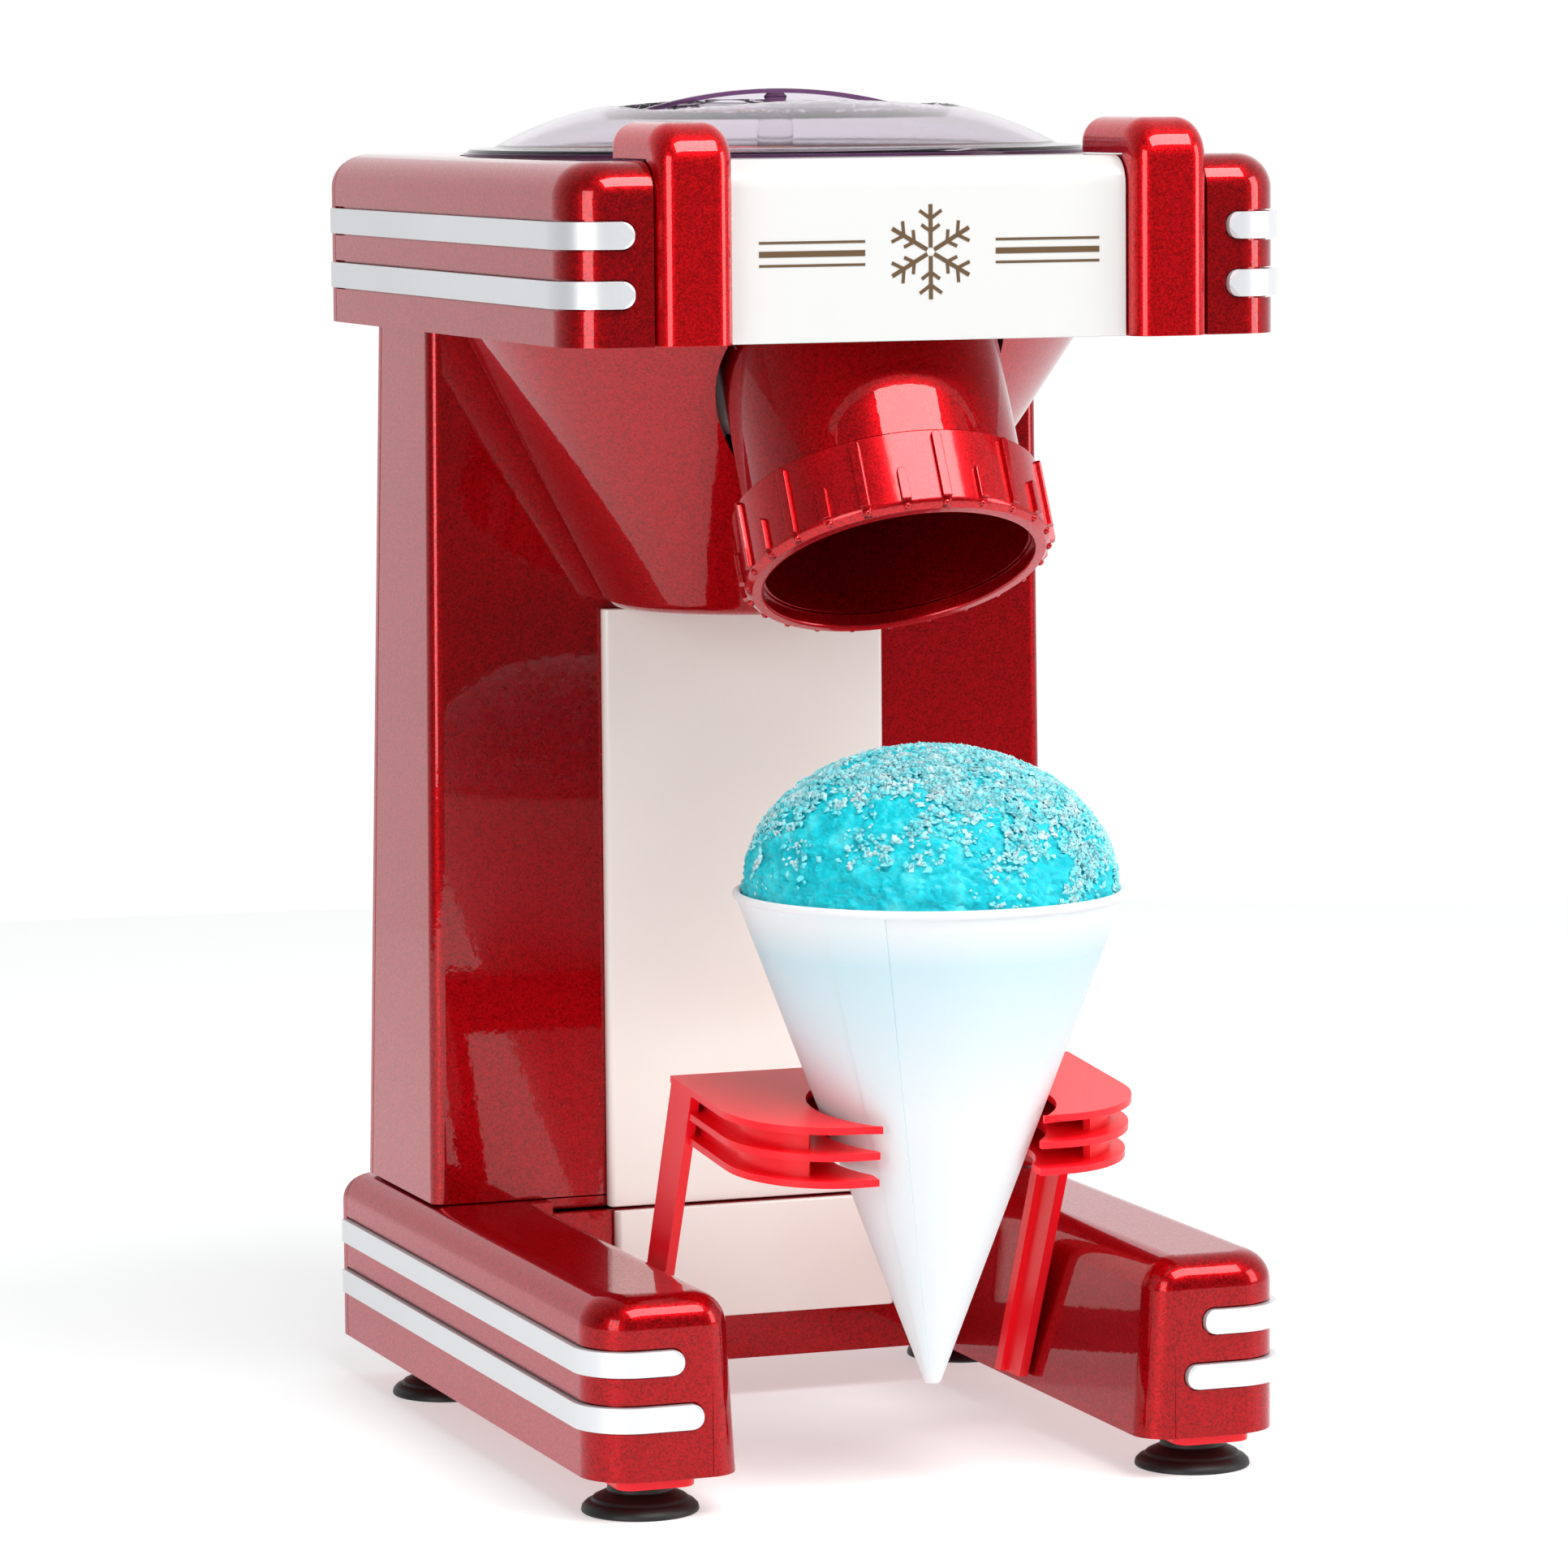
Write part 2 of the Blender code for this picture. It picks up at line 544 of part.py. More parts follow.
# ---- Lid, press ring and hopper ----
def grip_rib(ball):
    """The rib across the lid: arched above, and following the dome, a sphere of radius ball, below."""
    sag = LID_CREST - GRIP_LOW
    bow_r = (GRIP_X**2 + sag**2) / (2 * sag)
    spread = degrees(asin(GRIP_X / bow_r))
    arch = arc((0, LID_CREST - bow_r), bow_r, 90 + spread, 90 - spread, 8)
    dip = degrees(asin((GRIP_X - 0.0010) / ball))
    sole = arc((0, DOME_CREST - DOME_WALL / 2 - ball), ball, 90 - dip, 90 + dip, 6)
    rib = extruded([arch + sole], -GRIP_HALF, GRIP_HALF)
    bmesh.ops.rotate(rib, matrix=Matrix.Rotation(radians(90), 3, "X"), verts=rib.verts)
    bmesh.ops.translate(rib, vec=(0, HOPPER_Y, 0), verts=rib.verts)
    return rib


def build_lid():
    at = (0, HOPPER_Y, 0)
    rise = DOME_CREST - DOME_LOW
    ball = (DOME_R**2 + rise**2) / (2 * rise)
    angles = [asin(DOME_R / ball) * index / 4 for index in range(5)]
    dome = [(ball * sin(angle), DOME_CREST - ball * (1 - cos(angle))) for angle in angles]
    under = [(radius * 0.972, z - DOME_WALL) for radius, z in reversed(dome)]
    skirt_out, skirt_in, skirt_low, rim = 0.0665, 0.0650, RECESS_FLOOR + PRESS_TRAVEL, 0.3203
    profile = dome + [
        (LID_R, DOME_LOW - 0.0004), (LID_R, rim), (skirt_out, rim), (skirt_out, skirt_low),
        (skirt_in, skirt_low), (skirt_in, 0.3206),
    ] + under  # fmt: skip
    lid = turned("lid_dome", profile, "clear_lid", 36, at)
    join(lid, solid("lid_grip", grip_rib(ball)))

    stem, plate, plate_low, plate_top = 0.0045, 0.0450, 0.3050, 0.3072
    pusher = [
        (0, 0.3300), (stem, 0.3295), (stem, plate_top + GAP), (plate, plate_top), (plate, plate_low),
        (0, plate_low),
    ]  # fmt: skip
    turned("ice_pusher", pusher, "clear_lid", 28, at)

    ring_out, ring_in, ring_low, ring_top = 0.0785, 0.0728, SPRING_TOP + 0.0004, 0.3200
    ring = [(ring_out, ring_top), (ring_out, ring_low), (ring_in, ring_low), (ring_in, ring_top)]
    turned("press_ring", ring, "black_plastic", 36, at)
    for number, angle in enumerate(SPRING_ANGLES, 1):
        coil_spring(f"press_spring_{number}", around(SPRING_R, angle), SPRING_LOW, SPRING_TOP)


def build_switch():
    """The safety switch under the press ring, and the pin that the ring pushes down onto it."""
    x, y = around(SPRING_R, SWITCH_ANGLE)
    pin = [(0, SPRING_TOP), (PLUNGER_R, SPRING_TOP), (PLUNGER_R, PLUNGER_LOW), (0, PLUNGER_LOW)]
    turned("switch_plunger", pin, "white_nylon", 12, (x, y, 0))
    box = block((-0.0095, 0.0095), (-0.0038, 0.0038), (0.2865, 0.3008))
    bmesh.ops.rotate(box, matrix=Matrix.Rotation(radians(SWITCH_ANGLE - 90), 3, "Z"), verts=box.verts)
    switch = solid("interlock_switch", box, "black_plastic", (x, y, 0))
    cut(switch, solid("switch_bore", rod(PLUNGER_R + 0.0004, 0.2930, 0.31, 12, (x, y))))


def coil_spring(name, at, low, high, turns=3, radius=0.0019, wire=0.0004):
    points = 9 * turns
    curve = bpy.data.curves.new(name, "CURVE")
    curve.dimensions = "3D"
    curve.bevel_depth = wire
    curve.bevel_resolution = 0
    curve.use_fill_caps = True
    spline = curve.splines.new("POLY")
    spline.points.add(points)
    for index, point in enumerate(spline.points):
        angle = 2 * pi * turns * index / points
        z = low + wire + (high - low - 2 * wire) * index / points
        point.co = (radius * cos(angle), radius * sin(angle), z, 1)
    return place(bpy.data.objects.new(name, curve), "steel", (at[0], at[1], 0))


def build_hopper():
    at = (0, HOPPER_Y, 0)
    bowl = [
        (0.0718, 0.3122), (0.0718, 0.3098), (0.0686, 0.3098), (0.0660, 0.3050), (0.0540, 0.2880),
        (0.0540, 0.2862), (0.0500, 0.2862), (0.0500, 0.2878), (0.0638, 0.3060), (0.0672, 0.3122),
    ]  # fmt: skip
    turned("hopper_bowl", bowl, "red_paint", 32, at)
    chamber = [
        (CHAMBER_R, 0.2858), (CHAMBER_R, 0.2828), (0.0600, 0.2828), (0.0600, 0.2805), (CHAMBER_R, 0.2805),
        (CHAMBER_R, 0.2565), (0.0505, 0.2530), (0.0073, 0.2530), (0.0073, 0.2552), (0.0495, 0.2552),
        (0.0518, 0.2575), (0.0518, 0.2858),
    ]  # fmt: skip
    chamber = turned("ice_chamber", chamber, "cream_plastic", 28, at)
    cut(chamber, chute_rod("chamber_outlet", CHUTE_R + GAP, 0.0, 0.12))
    bush = [
        (0.0090, 0.2582), (0.0090, 0.2555), (0.0070, 0.2555), (0.0070, 0.2525), (0.0043, 0.2525),
        (0.0043, 0.2582),
    ]  # fmt: skip
    turned("shaft_bush", bush, "bronze", 24, at)


# ---- Cutter and gear train ----
def gear_outline(teeth, phase):
    """A spur gear with straight-sided teeth, one of them pointing at phase degrees."""
    pitch_r = GEAR_MODULE * teeth / 2
    tip_r, root_r = pitch_r + 0.75 * GEAR_MODULE, pitch_r - 1.15 * GEAR_MODULE
    step = 360 / teeth
    outline = []
    for tooth in range(teeth):
        middle = phase + tooth * step
        for share, radius in ((-0.29, root_r), (-0.10, tip_r), (0.10, tip_r), (0.29, root_r)):
            outline.append(polar(radius, middle + share * step))
    return outline


def gear(name, teeth, phase, bore, y, slot):
    bm = extruded([gear_outline(teeth, phase), circle(bore, 16)], GEAR_LOW, GEAR_TOP)
    return solid(name, bm, slot, (0, y, 0))


def blade(name, angle):
    """A straight blade that stands a little above the cutter disc."""
    bm = block((BLADE_FROM, BLADE_TO), (-0.0060, 0.0060), (BLADE_LOW, BLADE_TOP))
    bmesh.ops.rotate(bm, matrix=Matrix.Rotation(radians(angle), 3, "Z"), verts=bm.verts)
    return solid(name, bm, "steel", (0, HOPPER_Y, 0))


def build_drive():
    at = (0, HOPPER_Y, 0)
    bore = 0.0043
    plain = [(DISC_R, DISC_TOP), (DISC_R, DISC_LOW), (bore, DISC_LOW), (bore, DISC_TOP)]
    disc = turned("cutter_disc", plain, "steel", 32, at)
    for number, angle in enumerate((0, 180), 1):
        window = block((BLADE_FROM, BLADE_TO - 0.0010), (0.0040, 0.0090), (0.28, 0.29))
        bmesh.ops.rotate(window, matrix=Matrix.Rotation(radians(angle), 3, "Z"), verts=window.verts)
        bmesh.ops.translate(window, vec=at, verts=window.verts)
        cut(disc, solid(f"shaving_slot_{number}", window))
        blade(f"blade_{number}", angle)
    cap, shank = 0.0075, bore - GAP
    shaft = [
        (0, 0.2895), (0.0050, 0.2890), (cap, 0.2870), (cap, BLADE_LOW), (shank, BLADE_LOW), (shank, SHAFT_LOW),
        (0, SHAFT_LOW),
    ]  # fmt: skip
    turned("cutter_shaft", shaft, "steel", 24, at)
    gear("cutter_gear", CUTTER_TEETH, 90, bore, HOPPER_Y, "white_nylon")

    idler_y = HOPPER_Y + GEAR_MODULE * (CUTTER_TEETH + IDLER_TEETH) / 2
    motor_y = idler_y + GEAR_MODULE * (IDLER_TEETH + PINION_TEETH) / 2
    half_tooth = 180 / IDLER_TEETH
    pin_r, stub_r, stub_low = 0.0020, 0.0022, 0.2255
    gear("idler_gear", IDLER_TEETH, 90 + half_tooth, pin_r + GAP, idler_y, "white_nylon")
    pin = [(0, 0.2485), (pin_r, 0.2485), (pin_r, SHAFT_LOW), (0, SHAFT_LOW)]
    turned("idler_pin", pin, "steel", 16, (0, idler_y, 0))
    gear("motor_pinion", PINION_TEETH, 270, stub_r + GAP, motor_y, "steel")
    stub = [(0, 0.2480), (stub_r, 0.2480), (stub_r, stub_low), (0, stub_low)]
    turned("motor_shaft", stub, "steel", 16, (0, motor_y, 0))

    can = [
        (0, stub_low - GAP), (0.0027, stub_low - GAP), (0.0027, 0.2346), (0.0070, 0.2346), (0.0070, 0.2320),
        (0.0165, 0.2320), (0.0175, 0.2300), (0.0175, 0.1880), (0.0155, 0.1860), (0, 0.1860),
    ]  # fmt: skip
    turned("motor_body", can, "steel", 24, (0, motor_y, 0))

    stem = block((-0.0260, 0.0260), (-0.0080, 0.0440), (PLATE_LOW, PLATE_TOP))
    round_edges(stem, 0.0120, 3, upright_at(-0.0080))
    plate = solid("gear_plate", stem, "steel")
    wing = block((-0.0780, 0.0780), (COLUMN_FRONT + WALL + GAP, 0.0790), (PLATE_LOW, PLATE_TOP))
    join(plate, solid("gear_plate_wing", wing))
    cut(plate, solid("motor_hole", rod(0.0030, 0.22, 0.25, 16, (0, motor_y))))


# ---- Housing under the head, and the chute ----
HOUSING_LOW, HOUSING_LOW_R, HOUSING_LOW_Y = 0.2060, 0.0372, 0.0275
HOUSING_TOP, HOUSING_TOP_R, HOUSING_TOP_Y = HEAD_LOW - GAP, 0.0780, 0.0124


def housing_cone(name, inset, low, high, slot=None):
    """The leaning cone frustum of the housing, or a smaller copy of it for its hollow."""

    def at(z):
        share = (z - HOUSING_LOW) / (HOUSING_TOP - HOUSING_LOW)
        radius = HOUSING_LOW_R + (HOUSING_TOP_R - HOUSING_LOW_R) * share - inset
        return radius, HOUSING_LOW_Y + (HOUSING_TOP_Y - HOUSING_LOW_Y) * share

    (low_r, low_y), (high_r, high_y) = at(low), at(high)
    bm = bmesh.new()
    bmesh.ops.create_cone(bm, cap_ends=True, segments=44, radius1=low_r, radius2=high_r, depth=high - low)
    for vert in bm.verts:
        vert.co.y += high_y if vert.co.z > 0 else low_y
        vert.co.z += (low + high) / 2
    if not inset:
        round_edges(bm, 0.0030, 2, at_height(low))
    return solid(name, bm, slot)


def chute_rod(name, radius, low, high, steps=40):
    """A cutter along the slanting axis of the chute."""
    return solid(name, rod(radius, low, high, steps), None, CHUTE_MOUTH, -CHUTE_TILT)


def build_housing(column):
    housing = housing_cone("motor_housing", 0, HOUSING_LOW, HOUSING_TOP, "red_paint")
    hollow = housing_cone("housing_hollow", 0.0025, HOUSING_LOW + 0.0025, HOUSING_TOP + 0.01)
    cut(housing, hollow)
    cut(housing, solid("housing_behind", block((-FAR, FAR), (COLUMN_FRONT - GAP, FAR), (0, 0.4))))
    cut(housing, chute_rod("chute_socket", 0.0362, 0.0, 0.12))
    window = housing_cone("column_window", 0.0030, HOUSING_LOW + 0.0040, HOUSING_TOP - 0.0028)
    cut(window, solid("window_front", block((-FAR, FAR), (-FAR, 0.030), (0, 0.4))))
    cut(column, window)
    cut(column, solid("column_top_hole", rod(0.0565, 0.2510, 0.29, 36, (0, HOPPER_Y))))


def build_chute(floor):
    start, end = 0.0036, 0.0900  # along the slanting axis, from the collar's lip up into the head
    tube = [(CHUTE_R, end), (CHUTE_R, start), (CHUTE_BORE, start), (CHUTE_BORE, end)]
    barrel = turned("chute_barrel", tube, "red_paint", 40, CHUTE_MOUTH, -CHUTE_TILT)
    cut(barrel, solid("chamber_clearance", rod(0.0546, 0.2526, 0.40, 36, (0, HOPPER_Y))))
    cut(barrel, solid("above_chute", block((-FAR, FAR), (-FAR, FAR), (HEAD_LOW - GAP, 0.5))))
    cut(floor, chute_rod("floor_outlet", CHUTE_BORE, 0.0, 0.12))

    outline = []
    step = 360 / COLLAR_RIBS
    root, crest = COLLAR_ROOT_R, COLLAR_R
    rib_shape = ((-0.09, root), (-0.06, crest), (0.06, crest), (0.09, root), (0.5, root))
    for rib in range(COLLAR_RIBS):
        outline += [polar(radius, (rib + share) * step) for share, radius in rib_shape]
    ring = extruded([outline, circle(0.0330, 40)], 0.0, COLLAR_LENGTH)
    collar = solid("chute_collar", ring, "red_paint", CHUTE_MOUTH, -CHUTE_TILT)
    cut(collar, chute_rod("collar_bore", CHUTE_R + GAP, 0.0033, 0.05))


# ---- Cone holder, cone and ice ----
def cone_radius(z):
    return CONE_TIP_R + (CONE_R - CONE_TIP_R) * (z - CONE_TIP) / (CONE_RIM - CONE_TIP)


def shelf_outline(inset, bite):
    """Half of a D-shaped shelf, open at the front: its edge, and the bite that the cone stands in."""
    x, back, front = HOLDER_X - inset, HOLDER_BACK - inset, HOLDER_FRONT + inset
    corner = 0.0260 - inset
    turn = degrees(asin(HOLDER_MOUTH / bite))
    edge = [(0, back), (x, back)] + arc((x - corner, front + corner), corner, 0, -90, 5)
    edge.append((HOLDER_MOUTH, front))
    hollow = arc((0, CONE_Y), bite, -90 + turn, 90, 9)
    return edge + hollow


def mirrored(half):
    """A closed outline from its right half, which starts and ends on x = 0."""
    return half + [(-x, y) for x, y in reversed(half[1:-1])]


def holder_layer(name, outline, low, high):
    """A layer of the holder, lying on planes that drop towards the front."""
    bm = extruded([outline], low, high)
    for vert in bm.verts:
        vert.co.z += HOLDER_TOP + holder_drop(vert.co.y)
    return solid(name, bm)


def holder_drop(y):
    """How far the holder's planes lie below their rear edge at this y, as a height to add."""
    return (y - HOLDER_BACK) * tan(radians(HOLDER_TILT))


def holder_arm(side):
    """The corners of one arm, which leans back from the shelves down to its foot between the legs."""

    def corner(sx, sy, sz):
        span = (HOLDER_BACK - ARM_WIDE, HOLDER_BACK) if sz > 0 else ARM_FOOT_Y
        y = span[sy > 0]
        z = HOLDER_TOP - SHELF / 2 + holder_drop(y) if sz > 0 else ARM_FOOT_Z
        outer = ARM_TOP_X if sz > 0 else ARM_FOOT_X
        return (side * (outer if sx * side > 0 else outer - ARM_THICK), y, z)

    return corner


def build_holder():
    shelves = []
    for number in range(3):
        high = -number * SHELF_PITCH
        bite = cone_radius(HOLDER_TOP + high) + 0.0010
        shelf = mirrored(shelf_outline(0.0008 * number, bite))
        shelves.append(holder_layer(f"holder_shelf_{number + 1}", shelf, high - SHELF, high))
    holder = shelves.pop(0)
    holder.name = "cone_holder"
    place_as_part(holder, "clear_red")

    low = -2 * SHELF_PITCH - SHELF / 2
    centre, outer_r, wall = (0.0260, -0.0900), 0.0210, 0.0022
    rear, inner_x = HOLDER_BACK - 0.0005, centre[0] + outer_r - wall
    outer = [(0, rear), (HOLDER_X - 0.0050, rear)] + arc(centre, outer_r, 0, -62, 4)
    inner = arc(centre, outer_r - wall, -62, 0, 4) + [(inner_x, rear - wall), (0, rear - wall)]
    web = holder_layer("holder_wall", mirrored(outer + inner), low, -SHELF / 2)
    arms = [solid(f"holder_arm_{word}", cube_of(holder_arm(side))) for word, side in SIDES]
    join(holder, *shelves, web, *arms)


def build_cone():
    at = (0, CONE_Y, 0)
    slope = (CONE_R - CONE_TIP_R) / (CONE_RIM - CONE_TIP)
    solid_tip = 0.0030
    cup = [
        (0, CONE_TIP + solid_tip), (CONE_TIP_R - PAPER + slope * solid_tip, CONE_TIP + solid_tip),
        (CONE_R - 0.0018, CONE_RIM - 0.0010), (CONE_R - 0.0006, CONE_RIM + 0.0008), (CONE_LIP_R, CONE_RIM),
        (CONE_LIP_R, CONE_RIM - 0.0016), (CONE_R - 0.0010, CONE_RIM - 0.0024), (CONE_TIP_R, CONE_TIP),
        (0, CONE_TIP),
    ]  # fmt: skip
    turned("cone_cup", cup, "white_paper", 30, at)

    low, low_r = CONE_TIP + 0.0200, cone_radius(CONE_TIP + 0.0200) - PAPER - 2 * GAP
    mound_low, mound_r, steps = CONE_RIM + 0.0005, CONE_R - 0.0016 - GAP, 6
    mound = [(0, ICE_TOP)]
    for index in range(1, steps):
        angle = pi / 2 * (1 - index / steps)
        mound.append((mound_r * cos(angle), mound_low + (ICE_TOP - mound_low) * sin(angle) ** 0.92))
    ice = mound + [(mound_r - 0.0010, CONE_RIM - 0.0020), (low_r, low), (0, low)]
    turned("shaved_ice", ice, "blue_ice", 30, at)


build_base()
column_shell = build_column()
head_shell, head_floor = build_head()
build_lid()
build_switch()
build_hopper()
build_drive()
build_housing(column_shell)
build_chute(head_floor)
build_holder()
build_cone()
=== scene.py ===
"""The looks of the shaved ice machine: finer shapes, materials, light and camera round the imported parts.

Metres, +Z up. The shapes are drawn from the middle of the base, as the parts were, and piece() shifts them
into the row frame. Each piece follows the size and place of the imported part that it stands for. The lid's
dome is up to 4 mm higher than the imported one, but no higher than its grip.
"""

import json

from math import asin, cos, degrees, pi, radians, sin, sqrt, tan

import bmesh
import bpy
import numpy as np
from mathutils import Matrix, Vector, noise

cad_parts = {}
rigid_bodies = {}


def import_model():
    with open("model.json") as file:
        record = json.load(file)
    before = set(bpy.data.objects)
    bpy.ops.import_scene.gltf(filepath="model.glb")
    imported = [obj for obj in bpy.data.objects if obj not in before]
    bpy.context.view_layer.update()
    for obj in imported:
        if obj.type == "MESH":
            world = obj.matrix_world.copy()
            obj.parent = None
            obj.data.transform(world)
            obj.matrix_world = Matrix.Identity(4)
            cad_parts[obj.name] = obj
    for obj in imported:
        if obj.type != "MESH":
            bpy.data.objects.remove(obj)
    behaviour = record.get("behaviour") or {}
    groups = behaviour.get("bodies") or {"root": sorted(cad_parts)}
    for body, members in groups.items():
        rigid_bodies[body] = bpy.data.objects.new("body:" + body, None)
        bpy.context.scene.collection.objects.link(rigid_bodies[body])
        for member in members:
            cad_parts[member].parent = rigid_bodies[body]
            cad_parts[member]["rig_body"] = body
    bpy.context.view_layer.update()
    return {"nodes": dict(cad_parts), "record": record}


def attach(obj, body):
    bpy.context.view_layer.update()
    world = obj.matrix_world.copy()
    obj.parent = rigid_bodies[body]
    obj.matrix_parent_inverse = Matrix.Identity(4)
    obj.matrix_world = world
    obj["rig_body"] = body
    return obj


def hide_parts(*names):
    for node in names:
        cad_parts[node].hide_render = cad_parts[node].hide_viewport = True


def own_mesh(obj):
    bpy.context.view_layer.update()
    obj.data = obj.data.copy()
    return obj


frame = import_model()

# ---- Sizes shared with the parts ----
SHIFT_Y = 0.01905  # the parts' own zero lies this far behind the row's origin
GAP, WALL, COVER = 0.0003, 0.0026, 0.0030
CORNER, INNER_CORNER, TOP_ROUND = 0.0124, 0.0085, 0.0080

BASE_X, BASE_FRONT, BASE_REAR = 0.0886, -0.1054, 0.1054
BASE_LOW, BASE_TOP = 0.0106, 0.0545
LEG_IN_LOW, LEG_IN_TOP = 0.0514, 0.0540
BRIDGE_FRONT, BRIDGE_STEP = 0.0330, 0.0515

HEAD_X, HEAD_FRONT, HEAD_REAR = 0.0907, -0.1015, 0.0948
HEAD_LOW, HEAD_TOP = 0.2776, 0.3207
COLUMN_FRONT, COLUMN_EDGE = 0.0386, 0.0035
COLUMN_X_LOW, COLUMN_X_TOP = 0.0839, 0.0823
COLUMN_REAR_LOW, COLUMN_REAR_TOP = 0.0963, 0.0824
PILLAR_IN, PILLAR_OUT, PILLAR_TOP, PILLAR_REAR = 0.0503, 0.0695, 0.3296, -0.0660
PANEL_FRONT, PANEL_REAR, SEAT_FRONT = -0.0988, -0.0725, -0.0952
HOPPER_Y, LID_R = 0.0090, 0.0780
RECESS_R, RECESS_FLOOR = 0.0790, 0.3125
HOUSING_LOW, HOUSING_LOW_R, HOUSING_LOW_Y = 0.2060, 0.0372, 0.0275
HOUSING_TOP, HOUSING_TOP_R, HOUSING_TOP_Y = HEAD_LOW - GAP, 0.0780, 0.0124
CHUTE_MOUTH, CHUTE_TILT, CHUTE_R, CHUTE_BORE = (0.0, -0.0766, 0.2215), 28.3, 0.0340, 0.0322
COLLAR_R, COLLAR_ROOT_R, COLLAR_LENGTH, COLLAR_RIBS = 0.0386, 0.0374, 0.0200, 24
CONE_Y, CONE_TIP, CONE_RIM, CONE_R = -0.0957, 0.0272, 0.1465, 0.0468
CONE_TIP_R, CONE_LIP_R, PAPER, ICE_TOP = 0.0020, 0.0478, 0.0008, 0.1825
HOLDER_X, HOLDER_BACK, HOLDER_FRONT, HOLDER_TOP = 0.0520, -0.0550, -0.1165, 0.0992
HOLDER_TILT, SHELF, SHELF_PITCH, HOLDER_MOUTH = 5.0, 0.0017, 0.0066, 0.0205
FOOT_X, FOOT_FRONT, FOOT_REAR, FOOT_R = 0.0715, -0.0868, 0.0700, 0.0142
BACK_PANEL_X = 0.0378
SPRING_R, SPRING_LOW, SPRING_TOP, SPRING_ANGLES, PRESS_TRAVEL = 0.0757, 0.3042, 0.3167, (0, 135, 250), 0.0027
SIDES = (("left", -1), ("right", 1))
FEET = (("front", FOOT_FRONT), ("rear", FOOT_REAR))
ON_HOPPER, ON_CONE = (0, HOPPER_Y, 0), (0, CONE_Y, 0)

# ---- Modelling limits ----
FAR = 0.5  # past everything
EVERY = (-FAR, FAR)
MERGE = 1e-6  # points closer than this are one
FLAT_ANGLE = radians(0.4)  # faces that meet flatter than this become one


# ---- Materials ----
def socket_value(value):
    """A colour gets its alpha; a number stays as it is."""
    return (*value, 1.0) if isinstance(value, tuple) and len(value) == 3 else value


def new_material(name, **values):
    """A Principled material with these values set on its own sockets."""
    made = bpy.data.materials.new(name)
    made.use_nodes = True
    shader = made.node_tree.nodes["Principled BSDF"]
    for key, value in values.items():
        exact = key == "Subsurface_Radius"
        shader.inputs[key.replace("_", " ")].default_value = value if exact else socket_value(value)
    return made


def node(owner, kind):
    return owner.node_tree.nodes.new(kind)


def wire(owner, source, target):
    owner.node_tree.links.new(source, target)


def shader_of(mat):
    return mat.node_tree.nodes["Principled BSDF"]


def texture(mat, kind, scale, detail=2.0, stretch=(1, 1, 1)):
    """A procedural texture in object space, with its scale in features per metre."""
    place = node(mat, "ShaderNodeTexCoord")
    mapping = node(mat, "ShaderNodeMapping")
    mapping.inputs["Scale"].default_value = stretch
    made = node(mat, kind)
    made.inputs["Scale"].default_value = scale
    if kind == "ShaderNodeTexNoise":
        made.inputs["Detail"].default_value = detail
    wire(mat, place.outputs["Object"], mapping.inputs["Vector"])
    wire(mat, mapping.outputs["Vector"], made.inputs["Vector"])
    return made


def output_of(made):
    return made.outputs["Fac"] if "Fac" in made.outputs else made.outputs["Distance"]


def ramp(owner, source, stops, target):
    """Maps a value through colours, given as (place, colour), into a socket."""
    made = node(owner, "ShaderNodeValToRGB")
    elements = made.color_ramp.elements
    while len(elements) < len(stops):
        elements.new(0.5)
    for element, (place, colour) in zip(elements, stops):
        element.position = place
        element.color = socket_value(colour)
    wire(owner, source, made.inputs["Fac"])
    wire(owner, made.outputs["Color"], target)


def tint(mat, source, stops):
    """Colours a material by a texture."""
    ramp(mat, source, stops, shader_of(mat).inputs["Base Color"])


def spread(mat, source, low, high):
    """Maps 0..1 to low..high into the roughness."""
    made = node(mat, "ShaderNodeMapRange")
    made.inputs["To Min"].default_value = low
    made.inputs["To Max"].default_value = high
    wire(mat, source, made.inputs["Value"])
    wire(mat, made.outputs["Result"], shader_of(mat).inputs["Roughness"])


def bump(mat, source, strength, distance, into="Normal"):
    made = node(mat, "ShaderNodeBump")
    made.inputs["Strength"].default_value = strength
    made.inputs["Distance"].default_value = distance
    wire(mat, source, made.inputs["Height"])
    wire(mat, made.outputs["Normal"], shader_of(mat).inputs[into])
    return made


def red_paint(name, low, high, coat, coat_ior=1.42):
    """Metallic flake paint under a clear coat: bright and dark flakes, and a coat with a faint ripple."""
    mat = new_material(
        name, Metallic=0.82, Roughness=0.34, Specular_IOR_Level=0.2, Specular_Tint=(0.95, 0.5, 0.58),
        Coat_Weight=1.0, Coat_Roughness=coat, Coat_IOR=coat_ior,
    )  # fmt: skip
    flakes = texture(mat, "ShaderNodeTexVoronoi", 2600)
    separate = node(mat, "ShaderNodeSeparateColor")
    wire(mat, flakes.outputs["Color"], separate.inputs["Color"])
    tint(mat, separate.outputs["Red"], ((0.0, low), (0.7, high)))
    spread(mat, separate.outputs["Green"], 0.27, 0.44)
    bump(mat, separate.outputs["Blue"], 0.10, 0.0002)
    ripple = texture(mat, "ShaderNodeTexNoise", 420, 2.0)
    bump(mat, output_of(ripple), 0.035, 0.0004, "Coat Normal")
    return mat


